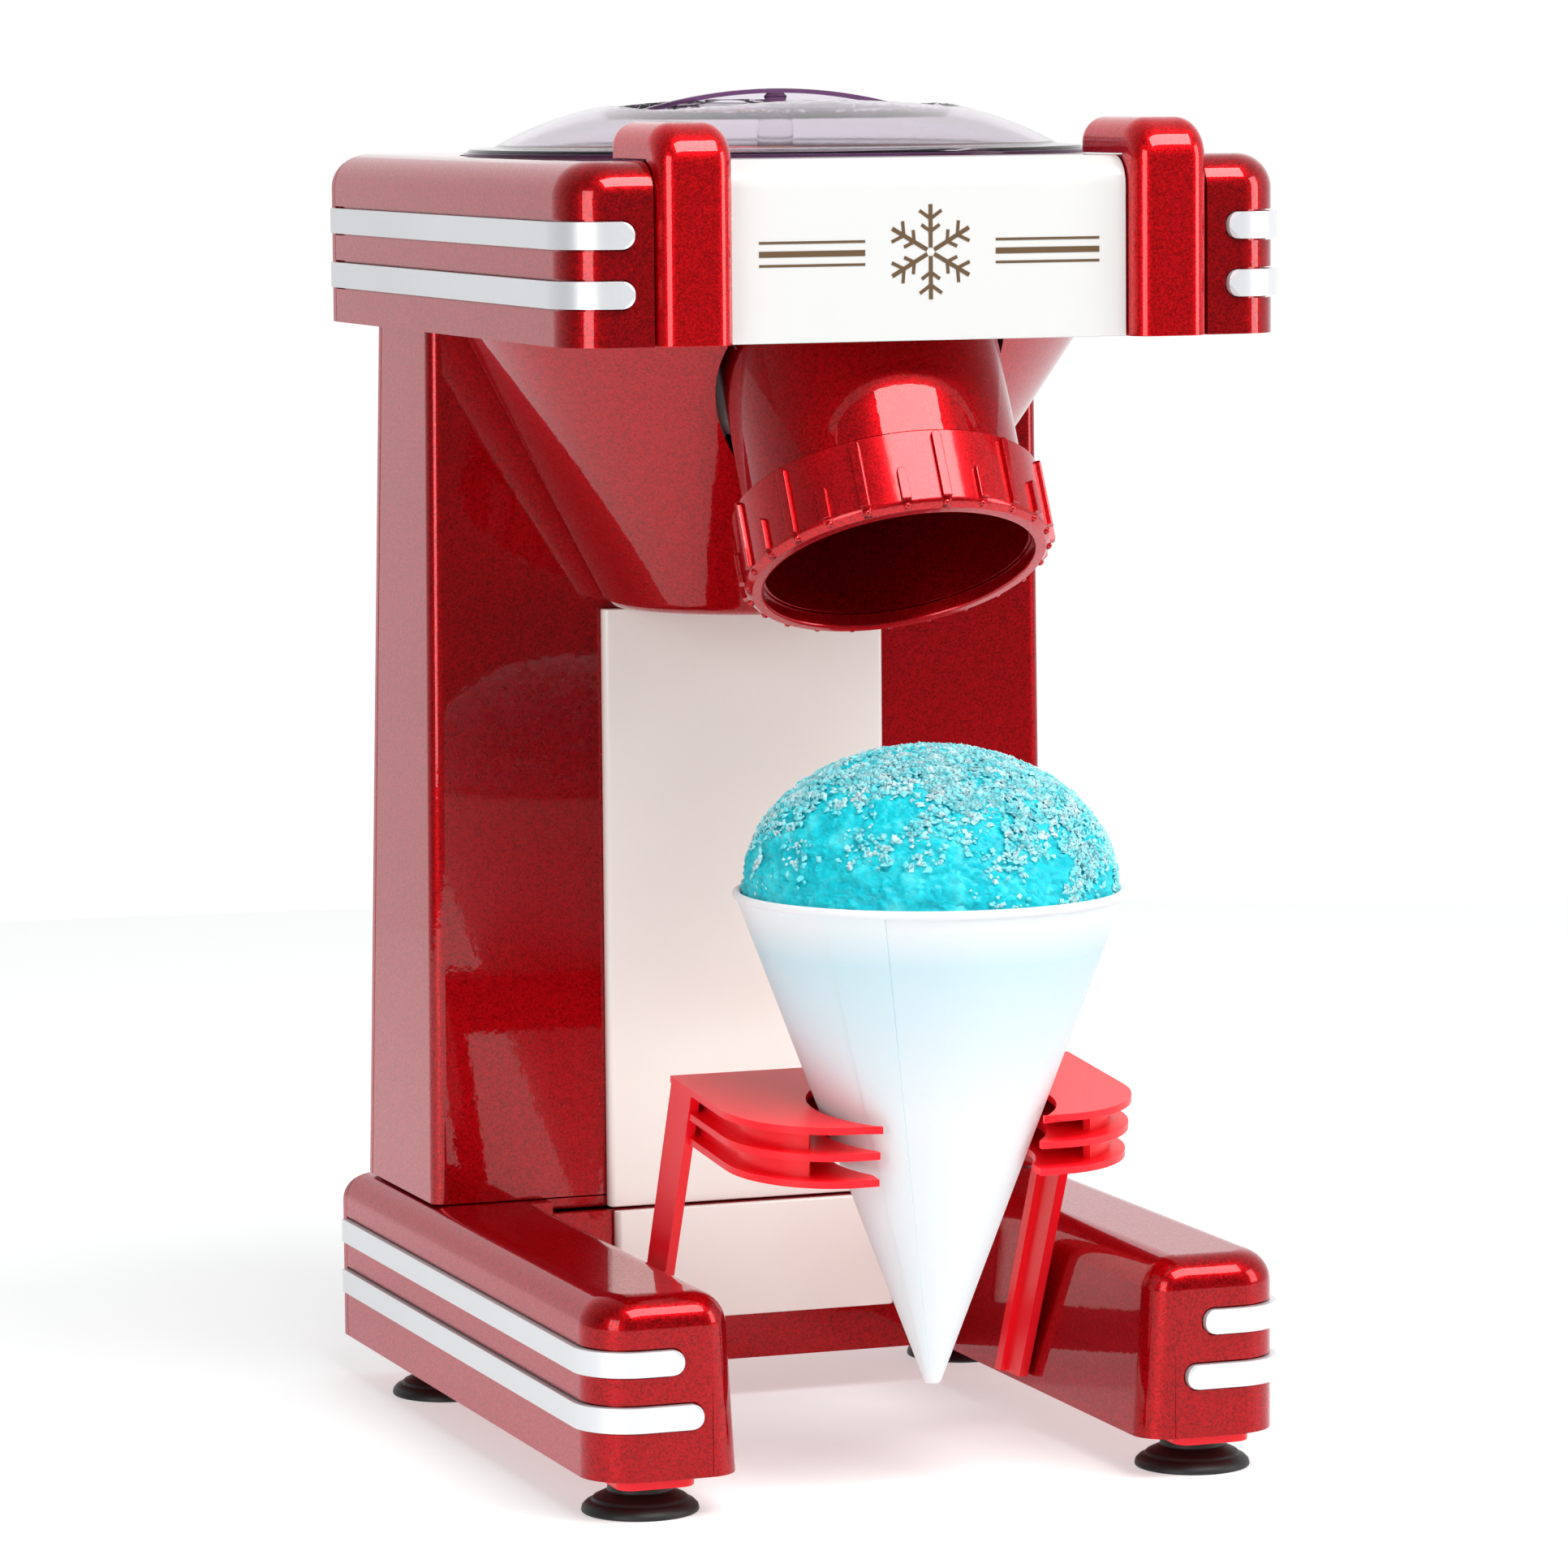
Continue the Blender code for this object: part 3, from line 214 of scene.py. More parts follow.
def moulded(name, colour, shade, roughness, grain=900, depth=0.05, **more):
    """A moulded plastic or rubber: a slow change of colour and a fine grain."""
    mat = new_material(name, Base_Color=colour, Roughness=roughness, **more)
    slow = texture(mat, "ShaderNodeTexNoise", 14, 3.0)
    tint(mat, output_of(slow), ((0.3, shade), (0.7, colour)))
    fine = texture(mat, "ShaderNodeTexNoise", grain, 3.0)
    low, high = roughness * 0.82, min(1.0, roughness * 1.2)
    spread(mat, output_of(fine), low, high)
    bump(mat, output_of(fine), depth, 0.0002)
    return mat


def brushed(name, colour, roughness, stretch=(1, 1, 12)):
    """Bare metal with fine lines across the stretched axis."""
    mat = new_material(name, Base_Color=colour, Metallic=1.0, Roughness=roughness)
    lines = texture(mat, "ShaderNodeTexNoise", 600, 4.0, stretch)
    spread(mat, output_of(lines), roughness * 0.75, roughness * 1.3)
    bump(mat, output_of(lines), 0.08, 0.0002)
    return mat


def tinted_paper():
    """White waxed paper: fibres, and a faint blue band just below the rim, white again at the lip."""
    mat = new_material("waxed_paper", Roughness=0.5, Subsurface_Weight=0.18, Subsurface_Scale=0.004)
    place = node(mat, "ShaderNodeTexCoord")
    axes = node(mat, "ShaderNodeSeparateXYZ")
    height = node(mat, "ShaderNodeMapRange")
    height.inputs["From Min"].default_value = CONE_RIM - 0.052
    height.inputs["From Max"].default_value = CONE_RIM - 0.004
    wire(mat, place.outputs["Object"], axes.inputs["Vector"])
    wire(mat, axes.outputs["Z"], height.inputs["Value"])
    white, blue = (0.76, 0.77, 0.79), (0.54, 0.69, 0.75)
    stops = ((0.0, white), (0.8, blue), (1.0, white))
    tint(mat, height.outputs["Result"], stops)
    fibres = texture(mat, "ShaderNodeTexNoise", 700, 5.0, (1, 1, 0.35))
    bump(mat, output_of(fibres), 0.06, 0.0002)
    return mat


def wet_ice(name, stops, clump, roughness):
    """Ice wet with syrup: clumps of colour through the mass, and a fine sparkle."""
    mat = new_material(
        name, Roughness=roughness, IOR=1.31, Subsurface_Weight=0.7, Subsurface_Scale=0.0022,
        Subsurface_Radius=(0.6, 1.0, 1.0),
    )  # fmt: skip
    clumps = texture(mat, "ShaderNodeTexNoise", clump, 5.0)
    tint(mat, output_of(clumps), stops)
    grain = texture(mat, "ShaderNodeTexNoise", 2400, 2.0)
    bump(mat, output_of(grain), 0.25, 0.0003)
    return mat


RED = red_paint("red_metallic_paint", (0.22, 0.0004, 0.0014), (0.45, 0.0010, 0.0040), 0.03)
BASE_RED = red_paint("red_base_paint", (0.22, 0.0004, 0.0014), (0.45, 0.0010, 0.0040), 0.03, 1.31)
# Painted light: a lighter copy of the red paint for the pillars, brighter where they face the key light.
LIT_PILLAR_RED = red_paint("red_pillar_painted_light", (0.40, 0.0006, 0.0024), (0.74, 0.0018, 0.0060), 0.03)
COLLAR_RED = red_paint("red_collar_paint", (0.34, 0.0012, 0.0030), (0.56, 0.0030, 0.0080), 0.11)
# The two creams stand for one cream plastic. The back panels' copy is lighter and warmer: painted light in
# the shade under the head. The front panel's copy is darker because the key light falls full on it.
CREAM = moulded(
    "cream_plastic", (0.625, 0.625, 0.612), (0.615, 0.613, 0.60), 0.22, depth=0.02,
    Coat_Weight=0.4, Coat_Roughness=0.08,
)  # fmt: skip
LIT_WARM_CREAM = moulded(
    "warm_cream_painted_light", (0.92, 0.88, 0.835), (0.905, 0.86, 0.81), 0.25, depth=0.02,
    Coat_Weight=0.4, Coat_Roughness=0.1,
)  # fmt: skip
SILVER = moulded(
    "satin_silver", (0.78, 0.79, 0.81), (0.74, 0.75, 0.77), 0.36, grain=1600, depth=0.06, Metallic=0.55
)
RUBBER = moulded("black_rubber", (0.004, 0.004, 0.0045), (0.006, 0.006, 0.0065), 0.5, grain=700, depth=0.15)
HOLDER_RED = moulded(
    "translucent_red", (0.95, 0.010, 0.022), (0.90, 0.006, 0.016), 0.30, grain=1500, depth=0.06,
    Subsurface_Weight=0.4, Subsurface_Radius=(1.0, 0.08, 0.06), Subsurface_Scale=0.004,
    Specular_IOR_Level=0.3,
)  # fmt: skip
# Painted shade: the bottom plate is the same red moulding as the pads, darkened because it lies in shadow
# under the base and so that it casts little red light onto the floor.
SHADED_PLATE_RED = moulded("dull_red_painted_shade", (0.42, 0.006, 0.012), (0.38, 0.005, 0.010), 0.45, grain=1200, depth=0.08)
LID = moulded(
    "clear_lid", (0.90, 0.85, 0.92), (0.88, 0.82, 0.90), 0.03, grain=300, depth=0.01,
    Transmission_Weight=1.0, IOR=1.46,
)  # fmt: skip
# Painted shade: a darker copy of the lid's faint tint, for the dark look of the clear lid's edges.
LID_EDGE_SHADE = moulded(
    "clear_lid_edge_shade", (0.24, 0.11, 0.24), (0.20, 0.09, 0.21), 0.08, grain=300, depth=0.01,
    Transmission_Weight=0.75, IOR=1.3,
)  # fmt: skip
PUSHER = moulded(
    "clear_pusher", (0.95, 0.92, 0.95), (0.93, 0.90, 0.94), 0.05, grain=300, depth=0.01,
    Transmission_Weight=1.0, IOR=1.12,
)  # fmt: skip
PAPER_WHITE = tinted_paper()
SYRUP = ((0.38, (0.003, 0.46, 0.55)), (0.54, (0.008, 0.54, 0.62)), (0.70, (0.07, 0.64, 0.70)))
PALE = ((0.36, (0.09, 0.64, 0.74)), (0.52, (0.27, 0.79, 0.86)), (0.68, (0.60, 0.92, 0.96)))
ICE = wet_ice("syrup_ice", SYRUP, 150, 0.38)
CRYSTAL = wet_ice("ice_crystal", PALE, 260, 0.30)
STEEL = brushed("steel", (0.60, 0.60, 0.62), 0.28)
NYLON = moulded("white_nylon", (0.78, 0.77, 0.73), (0.72, 0.71, 0.67), 0.45)
BRONZE = brushed("sintered_bronze", (0.55, 0.34, 0.14), 0.38, (1, 1, 1))
BLACK = moulded("black_plastic", (0.018, 0.018, 0.019), (0.024, 0.024, 0.025), 0.42)
INK = moulded("brown_ink", (0.105, 0.062, 0.030), (0.12, 0.07, 0.035), 0.35)

BY_SLOT = {
    "red_paint": RED, "cream_plastic": CREAM, "silver_trim": SILVER, "black_rubber": RUBBER,
    "clear_red": HOLDER_RED, "clear_lid": LID, "white_paper": PAPER_WHITE, "blue_ice": ICE, "steel": STEEL,
    "white_nylon": NYLON, "bronze": BRONZE, "black_plastic": BLACK,
}  # fmt: skip
NODE_SLOT = {row["node"]: row["material_slot"] for row in frame["record"]["subparts"]}
BODY_OF = {name: obj["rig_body"] for name, obj in frame["nodes"].items()}
for name, obj in frame["nodes"].items():
    obj.data.materials.clear()
    obj.data.materials.append(BY_SLOT[NODE_SLOT[name]])


# ---- Modelling tools ----
def solid(shape):
    """A mesh object made from a bmesh; an object stays as it is."""
    if isinstance(shape, bpy.types.Object):
        return shape
    mesh = bpy.data.meshes.new("solid")
    bmesh.ops.recalc_face_normals(shape, faces=shape.faces)
    shape.to_mesh(mesh)
    shape.free()
    obj = bpy.data.objects.new("solid", mesh)
    bpy.context.scene.collection.objects.link(obj)
    return obj


def settle(obj):
    """Applies an object's modifiers."""
    bpy.context.view_layer.update()
    graph = bpy.context.evaluated_depsgraph_get()
    mesh = bpy.data.meshes.new_from_object(obj.evaluated_get(graph))
    obj.modifiers.clear()
    obj.data = mesh
    return obj


def boolean(obj, operation, others):
    for other in map(solid, others):
        modifier = obj.modifiers.new("boolean", "BOOLEAN")
        modifier.operation = operation
        modifier.object = other
        settle(obj)
        bpy.data.objects.remove(other, do_unlink=True)
    return obj


def cut(obj, *others):
    return boolean(obj, "DIFFERENCE", others)


def join(obj, *others):
    return boolean(obj, "UNION", others)


def keep(obj, *others):
    return boolean(obj, "INTERSECT", others)


def joined(shapes):
    """One object made of shapes that touch."""
    first, *others = shapes
    return join(solid(first), *others)


def piece(name, shape, mat, *nodes, edge=0.0004, body=None, slot=None, steps=2, angle=32):
    """Finishes a shape: softens its edges, moves it into the row frame and puts it on its parts' body."""
    obj = solid(shape)
    bm = bmesh.new()
    bm.from_mesh(obj.data)
    bmesh.ops.remove_doubles(bm, verts=bm.verts, dist=MERGE)
    bmesh.ops.dissolve_degenerate(bm, edges=bm.edges, dist=MERGE)
    flat = [e for e in bm.edges if len(e.link_faces) == 2 and e.calc_face_angle(1.0) < FLAT_ANGLE]
    bmesh.ops.dissolve_limit(bm, angle_limit=FLAT_ANGLE, verts=bm.verts, edges=flat)
    bm.to_mesh(obj.data)
    bm.free()
    obj.data.transform(Matrix.Translation((0, SHIFT_Y, 0)) @ obj.matrix_basis)
    obj.matrix_basis = Matrix.Identity(4)
    obj.name = name
    obj.data.materials.clear()
    obj.data.materials.append(mat)
    obj.data.shade_smooth()
    obj.data.set_sharp_from_angle(angle=radians(angle))
    if edge:
        soft = obj.modifiers.new("soft_edges", "BEVEL")
        soft.width = edge
        soft.segments = steps
        soft.limit_method = "ANGLE"
        soft.angle_limit = radians(angle)
        soft.use_clamp_overlap = True
        soft.miter_outer = "MITER_ARC"
    normals = obj.modifiers.new("even_normals", "WEIGHTED_NORMAL")
    normals.keep_sharp = not edge
    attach(obj, body or BODY_OF[nodes[0]])
    if nodes:
        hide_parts(*nodes)
    slot or NODE_SLOT[nodes[0]]
    return obj


def cube_of(corner):
    """A cube whose corner (sx, sy, sz), each -1 or 1, goes to corner(sx, sy, sz)."""
    bm = bmesh.new()
    bmesh.ops.create_cube(bm, size=2)
    for vert in bm.verts:
        vert.co = corner(*(round(value) for value in vert.co))
    return bm


def block(x, y, z):
    return cube_of(lambda sx, sy, sz: (x[sx > 0], y[sy > 0], z[sz > 0]))


def slab(x=EVERY, y=EVERY, z=EVERY):
    """A block that goes past everything along the axes that aren't given."""
    return block(x, y, z)


def rod(radius, low, high, steps=64, centre=(0, 0), top=None):
    top = radius if top is None else top
    bm = bmesh.new()
    bmesh.ops.create_cone(bm, cap_ends=True, segments=steps, radius1=radius, radius2=top, depth=high - low)
    bmesh.ops.translate(bm, vec=(centre[0], centre[1], (low + high) / 2), verts=bm.verts)
    return bm


def round_edges(bm, radius, steps, pick):
    edges = [edge for edge in bm.edges if pick(edge.verts[0].co, edge.verts[1].co)]
    bmesh.ops.bevel(
        bm, geom=edges, offset=radius, segments=steps, profile=0.5, affect="EDGES", clamp_overlap=True
    )
    return bm


def upright_at(y):
    return lambda a, b: abs(a.z - b.z) > 0.002 and abs(a.y - y) < 0.002 and abs(b.y - y) < 0.002


def at_height(z):
    return lambda a, b: abs(a.z - z) < 1e-5 and abs(b.z - z) < 1e-5


def polar(radius, angle):
    return (radius * cos(radians(angle)), radius * sin(radians(angle)))


def arc(centre, radius, start, end, steps):
    angles = [start + (end - start) * index / steps for index in range(steps + 1)]
    return [(centre[0] + radius * cos(radians(a)), centre[1] + radius * sin(radians(a))) for a in angles]


def extruded(outlines, low, high):
    """Flat outlines, the first the edge and the rest holes, from z = low to z = high."""
    curve = bpy.data.curves.new("outline", "CURVE")
    curve.dimensions = "2D"
    curve.fill_mode = "BOTH"
    curve.extrude = (high - low) / 2
    for outline in outlines:
        spline = curve.splines.new("POLY")
        spline.points.add(len(outline) - 1)
        spline.use_cyclic_u = True
        for point, (x, y) in zip(spline.points, outline):
            point.co = (x, y, 0, 1)
    guide = bpy.data.objects.new("outline", curve)
    bpy.context.scene.collection.objects.link(guide)
    graph = bpy.context.evaluated_depsgraph_get()
    mesh = bpy.data.meshes.new_from_object(guide.evaluated_get(graph))
    bpy.data.objects.remove(guide)
    bm = bmesh.new()
    bm.from_mesh(mesh)
    bpy.data.meshes.remove(mesh)
    bmesh.ops.remove_doubles(bm, verts=bm.verts, dist=MERGE)
    bmesh.ops.translate(bm, vec=(0, 0, (low + high) / 2), verts=bm.verts)
    return bm


def ring_of(bm, radius, z, steps):
    """A ring of points round the axis, or the one point on it."""
    if radius < 1e-9:
        return [bm.verts.new((0, 0, z))]
    return [bm.verts.new((*polar(radius, 360 * i / steps), z)) for i in range(steps)]


def skin(bm, rings):
    """Joins each ring of points to the next with faces; a ring of one point is a tip."""
    for a, b in zip(rings, rings[1:]):
        steps = max(len(a), len(b))
        for i in range(steps):
            j = (i + 1) % steps
            corners = [a[i % len(a)], a[j % len(a)], b[j % len(b)], b[i % len(b)]]
            unique = [v for n, v in enumerate(corners) if v not in corners[:n]]
            if len(unique) > 2:
                bm.faces.new(unique)


def turned(profile, steps=96):
    """A turned solid from a closed (radius, z) profile, or one that starts and ends on the axis."""
    bm = bmesh.new()
    rings = [ring_of(bm, radius, z, steps) for radius, z in profile]
    if len(rings[0]) > 1 and len(rings[-1]) > 1:
        rings.append(rings[0])
    skin(bm, rings)
    bmesh.ops.recalc_face_normals(bm, faces=bm.faces)
    return bm


def moved(bm, origin=(0, 0, 0), tilt=0.0, turn=0.0, axis="Z"):
    """Turns a shape about the origin and then puts it in its place."""
    if turn:
        bmesh.ops.rotate(bm, matrix=Matrix.Rotation(radians(turn), 3, axis), verts=bm.verts)
    if tilt:
        bmesh.ops.rotate(bm, matrix=Matrix.Rotation(radians(tilt), 3, "X"), verts=bm.verts)
    bmesh.ops.translate(bm, vec=origin, verts=bm.verts)
    return bm


def rounded_profile(points, radius, steps=4):
    """Rounds the corners of a closed (radius, z) profile."""
    out = []
    for index, here in enumerate(points):
        before, after = points[index - 1], points[(index + 1) % len(points)]
        p, a, b = Vector(here), Vector(before), Vector(after)
        r = min(radius, (a - p).length * 0.45, (b - p).length * 0.45)
        if here[0] < 1e-9 or r < 1e-6:
            out.append(here)
            continue
        start, end = p + (a - p).normalized() * r, p + (b - p).normalized() * r
        for step in range(steps + 1):
            t = step / steps
            q = start * (1 - t) ** 2 + p * (2 * t * (1 - t)) + end * t**2
            out.append((q.x, q.y))
    return out


# ---- Base ----
def leg_corner(side, x_in_low, x_in_top, x_out, y, z):
    def corner(sx, sy, sz):
        inner = x_in_top if sz > 0 else x_in_low
        return (side * (x_out if sx * side > 0 else inner), y[sy > 0], z[sz > 0])

    return corner


def base_block():
    shapes = []
    along, up = (BASE_FRONT, BASE_REAR), (BASE_LOW, BASE_TOP)
    upright, middle = upright_at(BASE_FRONT), (LEG_IN_TOP + BASE_X) / 2
    for _, side in SIDES:
        leg = cube_of(leg_corner(side, LEG_IN_LOW, LEG_IN_TOP, BASE_X, along, up))
        round_edges(leg, CORNER, 14, lambda a, b: upright(a, b) and abs(a.x) > middle)
        round_edges(leg, INNER_CORNER, 10, lambda a, b: upright(a, b) and abs(a.x) < middle)
        round_edges(leg, TOP_ROUND, 10, at_height(BASE_TOP))
        shapes.append(leg)
    bridge = block((-0.0785, 0.0785), (BRIDGE_FRONT, BASE_REAR), up)
    round_edges(bridge, TOP_ROUND, 10, lambda a, b: at_height(BASE_TOP)(a, b) and min(a.y, b.y) > 0.1)
    shapes.append(bridge)
    return cut(joined(shapes), slab((-LEG_IN_TOP, LEG_IN_TOP), (0.0, COLUMN_FRONT), (BRIDGE_STEP, 0.1)))


def base_cavity(inset, low, high, rear, corner_steps=6):
    shapes = []
    for _, side in SIDES:
        x_out, x_in = BASE_X - inset, LEG_IN_TOP + inset
        leg = cube_of(leg_corner(side, x_in, x_in, x_out, (BASE_FRONT + inset, rear), (low, high)))
        round_edges(leg, CORNER - inset, corner_steps, upright_at(BASE_FRONT + inset))
        shapes.append(leg)
    shapes.append(block((-0.06, 0.06), (BRIDGE_FRONT + inset, rear), (low, high)))
    return joined(shapes)


def strip_bar(side, half_x, front, rear, end_x, z, height, proud, depth, end_steps=8):
    centre = (half_x - CORNER, front + CORNER)
    outer = [(half_x + proud, rear)] + arc(centre, CORNER + proud, 0, -90, 16) + [(end_x, front - proud)]
    inner = [(end_x, front + depth)] + arc(centre, CORNER - depth, -90, 0, 16) + [(half_x - depth, rear)]
    outline = [(side * x, y) for x, y in outer + inner]
    bm = extruded([outline], z - height / 2, z + height / 2)

    def at_end(a, b):
        return max(abs(abs(a.x) - end_x), abs(abs(b.x) - end_x)) < 1e-5 and abs(a.z - b.z) < 1e-6

    return round_edges(bm, height * 0.47, end_steps, at_end)


def trim(shell, where, half_x, front, rear, rows):
    """The silver strips, and the grooves that they lie in."""
    for word, side in SIDES:
        for level, z, end_x, height in rows:
            wide, end = height + 0.0010, end_x - 0.0005
            cut(shell, strip_bar(side, half_x, front, rear + 0.0004, end, z, wide, 0.0030, 0.0012))
            bar = strip_bar(side, half_x, front, rear, end_x, z, height, 0.0015, 0.0008)
            name = f"{where}_strip_{level}_{word}"
            piece(f"{name}_satin", bar, SILVER, name, edge=0.0008, steps=3)


def build_base():
    seam = BASE_REAR - COVER
    shell = base_block()
    cut(shell, slab(y=(seam, FAR)))
    cut(shell, base_cavity(WALL, -0.01, BASE_TOP - WALL, seam + 0.01))
    rows = (("upper", 0.0389, 0.0667, 0.0060), ("lower", 0.0256, 0.0620, 0.0060))
    trim(shell, "base", BASE_X, BASE_FRONT, seam - 0.0006, rows)
    for side in (-1, 1):
        line_x = sorted((side * 0.0592, side * 0.0594))
        cut(shell, slab(line_x, (BASE_FRONT - 0.01, BASE_FRONT + 0.0003), (0.0, 0.0440)))
    piece("base_shell_painted", shell, BASE_RED, "base_shell", edge=0.0003)

    cover = keep(base_block(), slab(y=(seam + GAP, FAR)))
    inlet_z = 0.0300
    cut(cover, moved(rod(0.0078, -0.02, 0.02, 48), (0.0, BASE_REAR, inlet_z), tilt=90))
    piece("base_rear_cover_painted", cover, BASE_RED, "base_rear_cover", edge=0.0003)
    gland = [(0.0074, -0.0001), (0.0074, -0.0030), (0.0040, -0.0030), (0.0040, -0.0001)]
    gland = turned(rounded_profile(gland, 0.0009), 48)
    gland = moved(gland, (0.0, BASE_REAR - 0.0001, inlet_z), tilt=-90)
    piece("cord_inlet_moulding", gland, RUBBER, "cord_inlet_grommet", edge=0)

    plate = base_cavity(WALL + GAP, BASE_LOW, BASE_LOW + 0.0025, seam - GAP)
    for word, side in SIDES:
        for where, y in FEET:
            x = side * FOOT_X
            pad = block((x - 0.0098, x + 0.0098), (y - 0.0147, y + 0.0150), (0.0078, BASE_LOW))
            pad = solid(round_edges(pad, 0.0040, 6, lambda a, b: abs(a.z - b.z) > 0.001))
            for part in (pad, plate):
                cut(part, rod(0.0033, -0.01, 0.03, 32, (x, y)))
            name = f"base_pad_{where}_{word}"
            piece(name, pad, HOLDER_RED, body="machine", slot=NODE_SLOT["base_bottom_plate"], edge=0.0004)
        cut(plate, rod(0.0017, -0.01, 0.03, 24, (side * FOOT_X, 0.0)))
    # The bottom plate takes the darkened red: painted shade under the base.
    piece("base_bottom_moulding", plate, SHADED_PLATE_RED, "base_bottom_plate", edge=0.0004)

    for word, side in SIDES:
        for where, y in FEET:
            suction_foot(f"suction_foot_{where}_{word}", side * FOOT_X, y)


def suction_foot(name, x, y):
    """A suction cup with its neck, a stepped rim and a hollow underside."""
    profile = [
        (0, 0.0150), (0.0052, 0.0150), (0.0052, 0.0134), (0.0030, 0.0134), (0.0030, 0.0075),
        (0.0072, 0.0075), (0.0078, 0.0072), (0.0079, 0.0052), (0.0092, 0.0046), (0.0113, 0.0036),
        (0.0118, 0.0028), (0.0130, 0.0024), (0.0139, 0.0015), (FOOT_R, 0.0004), (0.0139, 0.0),
        (0.0125, 0.0), (0.0090, 0.0012), (0.0045, 0.0026), (0, 0.0032),
    ]  # fmt: skip
    piece(f"{name}_moulded", moved(turned(profile, 72), (x, y, 0)), RUBBER, name, edge=0.0003)


# ---- Screws ----
def screw(name, origin, tilt):
    """A pan head with a cross recess, on its shank."""
    head = [
        (0, 0.0075), (0.0014, 0.0075), (0.0014, 0.0), (0.0029, 0.0), (0.0029, -0.0006), (0.0026, -0.0011),
        (0.0020, -0.0015), (0.0010, -0.0017), (0, -0.0017),
    ]  # fmt: skip
    obj = solid(turned(head, 40))
    for turn in (0, 90):
        bar = block((-0.0014, 0.0014), (-0.00028, 0.00028), (-0.0030, -0.0008))
        cut(obj, moved(bar, turn=turn))
    obj.data.transform(Matrix.Translation(origin) @ Matrix.Rotation(radians(tilt), 4, "X"))
    piece(f"{name}_cross", obj, STEEL, name, edge=0.0001)


# ---- Column, panels and housing ----
COLUMN_LOW, COLUMN_HIGH = BASE_TOP + GAP, HEAD_LOW - GAP


def column_block(inset, front, rear_inset, low=COLUMN_LOW, high=COLUMN_HIGH):
    def corner(sx, sy, sz):
        half_x = (COLUMN_X_TOP if sz > 0 else COLUMN_X_LOW) - inset
        rear = (COLUMN_REAR_TOP if sz > 0 else COLUMN_REAR_LOW) - rear_inset
        return (sx * half_x, rear if sy > 0 else front, high if sz > 0 else low)

    return cube_of(corner)


def housing_cone(inset, low, high, steps=128):
    def at(z):
        share = (z - HOUSING_LOW) / (HOUSING_TOP - HOUSING_LOW)
        radius = HOUSING_LOW_R + (HOUSING_TOP_R - HOUSING_LOW_R) * share - inset
        return radius, HOUSING_LOW_Y + (HOUSING_TOP_Y - HOUSING_LOW_Y) * share

    (low_r, low_y), (high_r, high_y) = at(low), at(high)
    bm = rod(low_r, low, high, steps, top=high_r)
    for vert in bm.verts:
        vert.co.y += high_y if vert.co.z > (low + high) / 2 else low_y
    if not inset:
        round_edges(bm, 0.0032, 5, at_height(low))
    return solid(bm)


def build_column():
    outer = column_block(0, COLUMN_FRONT, COVER)
    round_edges(outer, COLUMN_EDGE, 8, upright_at(COLUMN_FRONT))
    shell = solid(outer)
    cut(shell, column_block(WALL, COLUMN_FRONT + WALL, -0.01, COLUMN_LOW + WALL, COLUMN_HIGH - WALL))
    window = housing_cone(0.0030, HOUSING_LOW + 0.0040, HOUSING_TOP - 0.0028, 64)
    cut(window, slab(y=(-FAR, 0.030), z=(0, 0.4)))
    cut(shell, window)
    cut(shell, rod(0.0565, 0.2510, 0.29, 64, (0, HOPPER_Y)))
    piece("column_shell_painted", shell, RED, "column_shell", edge=0.0003)

    cover = solid(column_block(0, COLUMN_FRONT, 0))
    cut(cover, column_block(-0.01, -FAR, COVER - GAP, COLUMN_LOW, COLUMN_HIGH))
    slope = (COLUMN_REAR_LOW - COLUMN_REAR_TOP) / (COLUMN_HIGH - COLUMN_LOW)
    number = 0
    for z in (0.0780, 0.2560):
        rear = COLUMN_REAR_LOW - (z - COLUMN_LOW) * slope
        for side in (-1, 1):
            number += 1
            cut(cover, moved(rod(0.0017, -0.02, 0.02, 24), (side * 0.0710, rear, z), tilt=90))
            screw(f"column_screw_{number}", (side * 0.0710, rear + GAP + 0.0002, z), 90)
    for row in range(7):
        z = 0.1500 + row * 0.0080
        slit = block((-0.0300, 0.0300), (0.05, 0.11), (z - 0.0016, z + 0.0016))
        round_edges(slit, 0.0015, 5, lambda a, b: abs(a.y - b.y) > 0.01)
        cut(cover, slit)
    piece("column_rear_cover_painted", cover, RED, "column_rear_cover", edge=0.0005)
    for name, front, seat, low, high in (
        ("back_panel", 0.0351, COLUMN_FRONT, BRIDGE_STEP + GAP, 0.2055),
        ("lower_panel", 0.0300, BRIDGE_FRONT, 0.0225, BRIDGE_STEP),
    ):
        panel = block((-BACK_PANEL_X, BACK_PANEL_X), (front, seat - GAP), (low, high))
        round_edges(panel, 0.0016, 5, upright_at(front))
        # The back panels take the lighter, warmer cream: painted light.
        piece(f"{name}_moulded", panel, LIT_WARM_CREAM, name, edge=0.0004)

    housing = housing_cone(0, HOUSING_LOW, HOUSING_TOP)
    cut(housing, housing_cone(0.0025, HOUSING_LOW + 0.0025, HOUSING_TOP + 0.01))
    cut(housing, slab(y=(COLUMN_FRONT - GAP, FAR), z=(0, 0.4)))
    cut(housing, moved(rod(0.0362, 0.0, 0.12, 96), CHUTE_MOUTH, tilt=-CHUTE_TILT))
    piece("motor_housing_painted", housing, RED, "motor_housing", edge=0.0004)


# ---- Head ----
def head_block():
    bm = block((-HEAD_X, HEAD_X), (HEAD_FRONT, HEAD_REAR), (HEAD_LOW, HEAD_TOP))
    round_edges(bm, CORNER, 14, upright_at(HEAD_FRONT))
    round_edges(bm, 0.0085, 10, at_height(HEAD_TOP))
    return solid(bm)


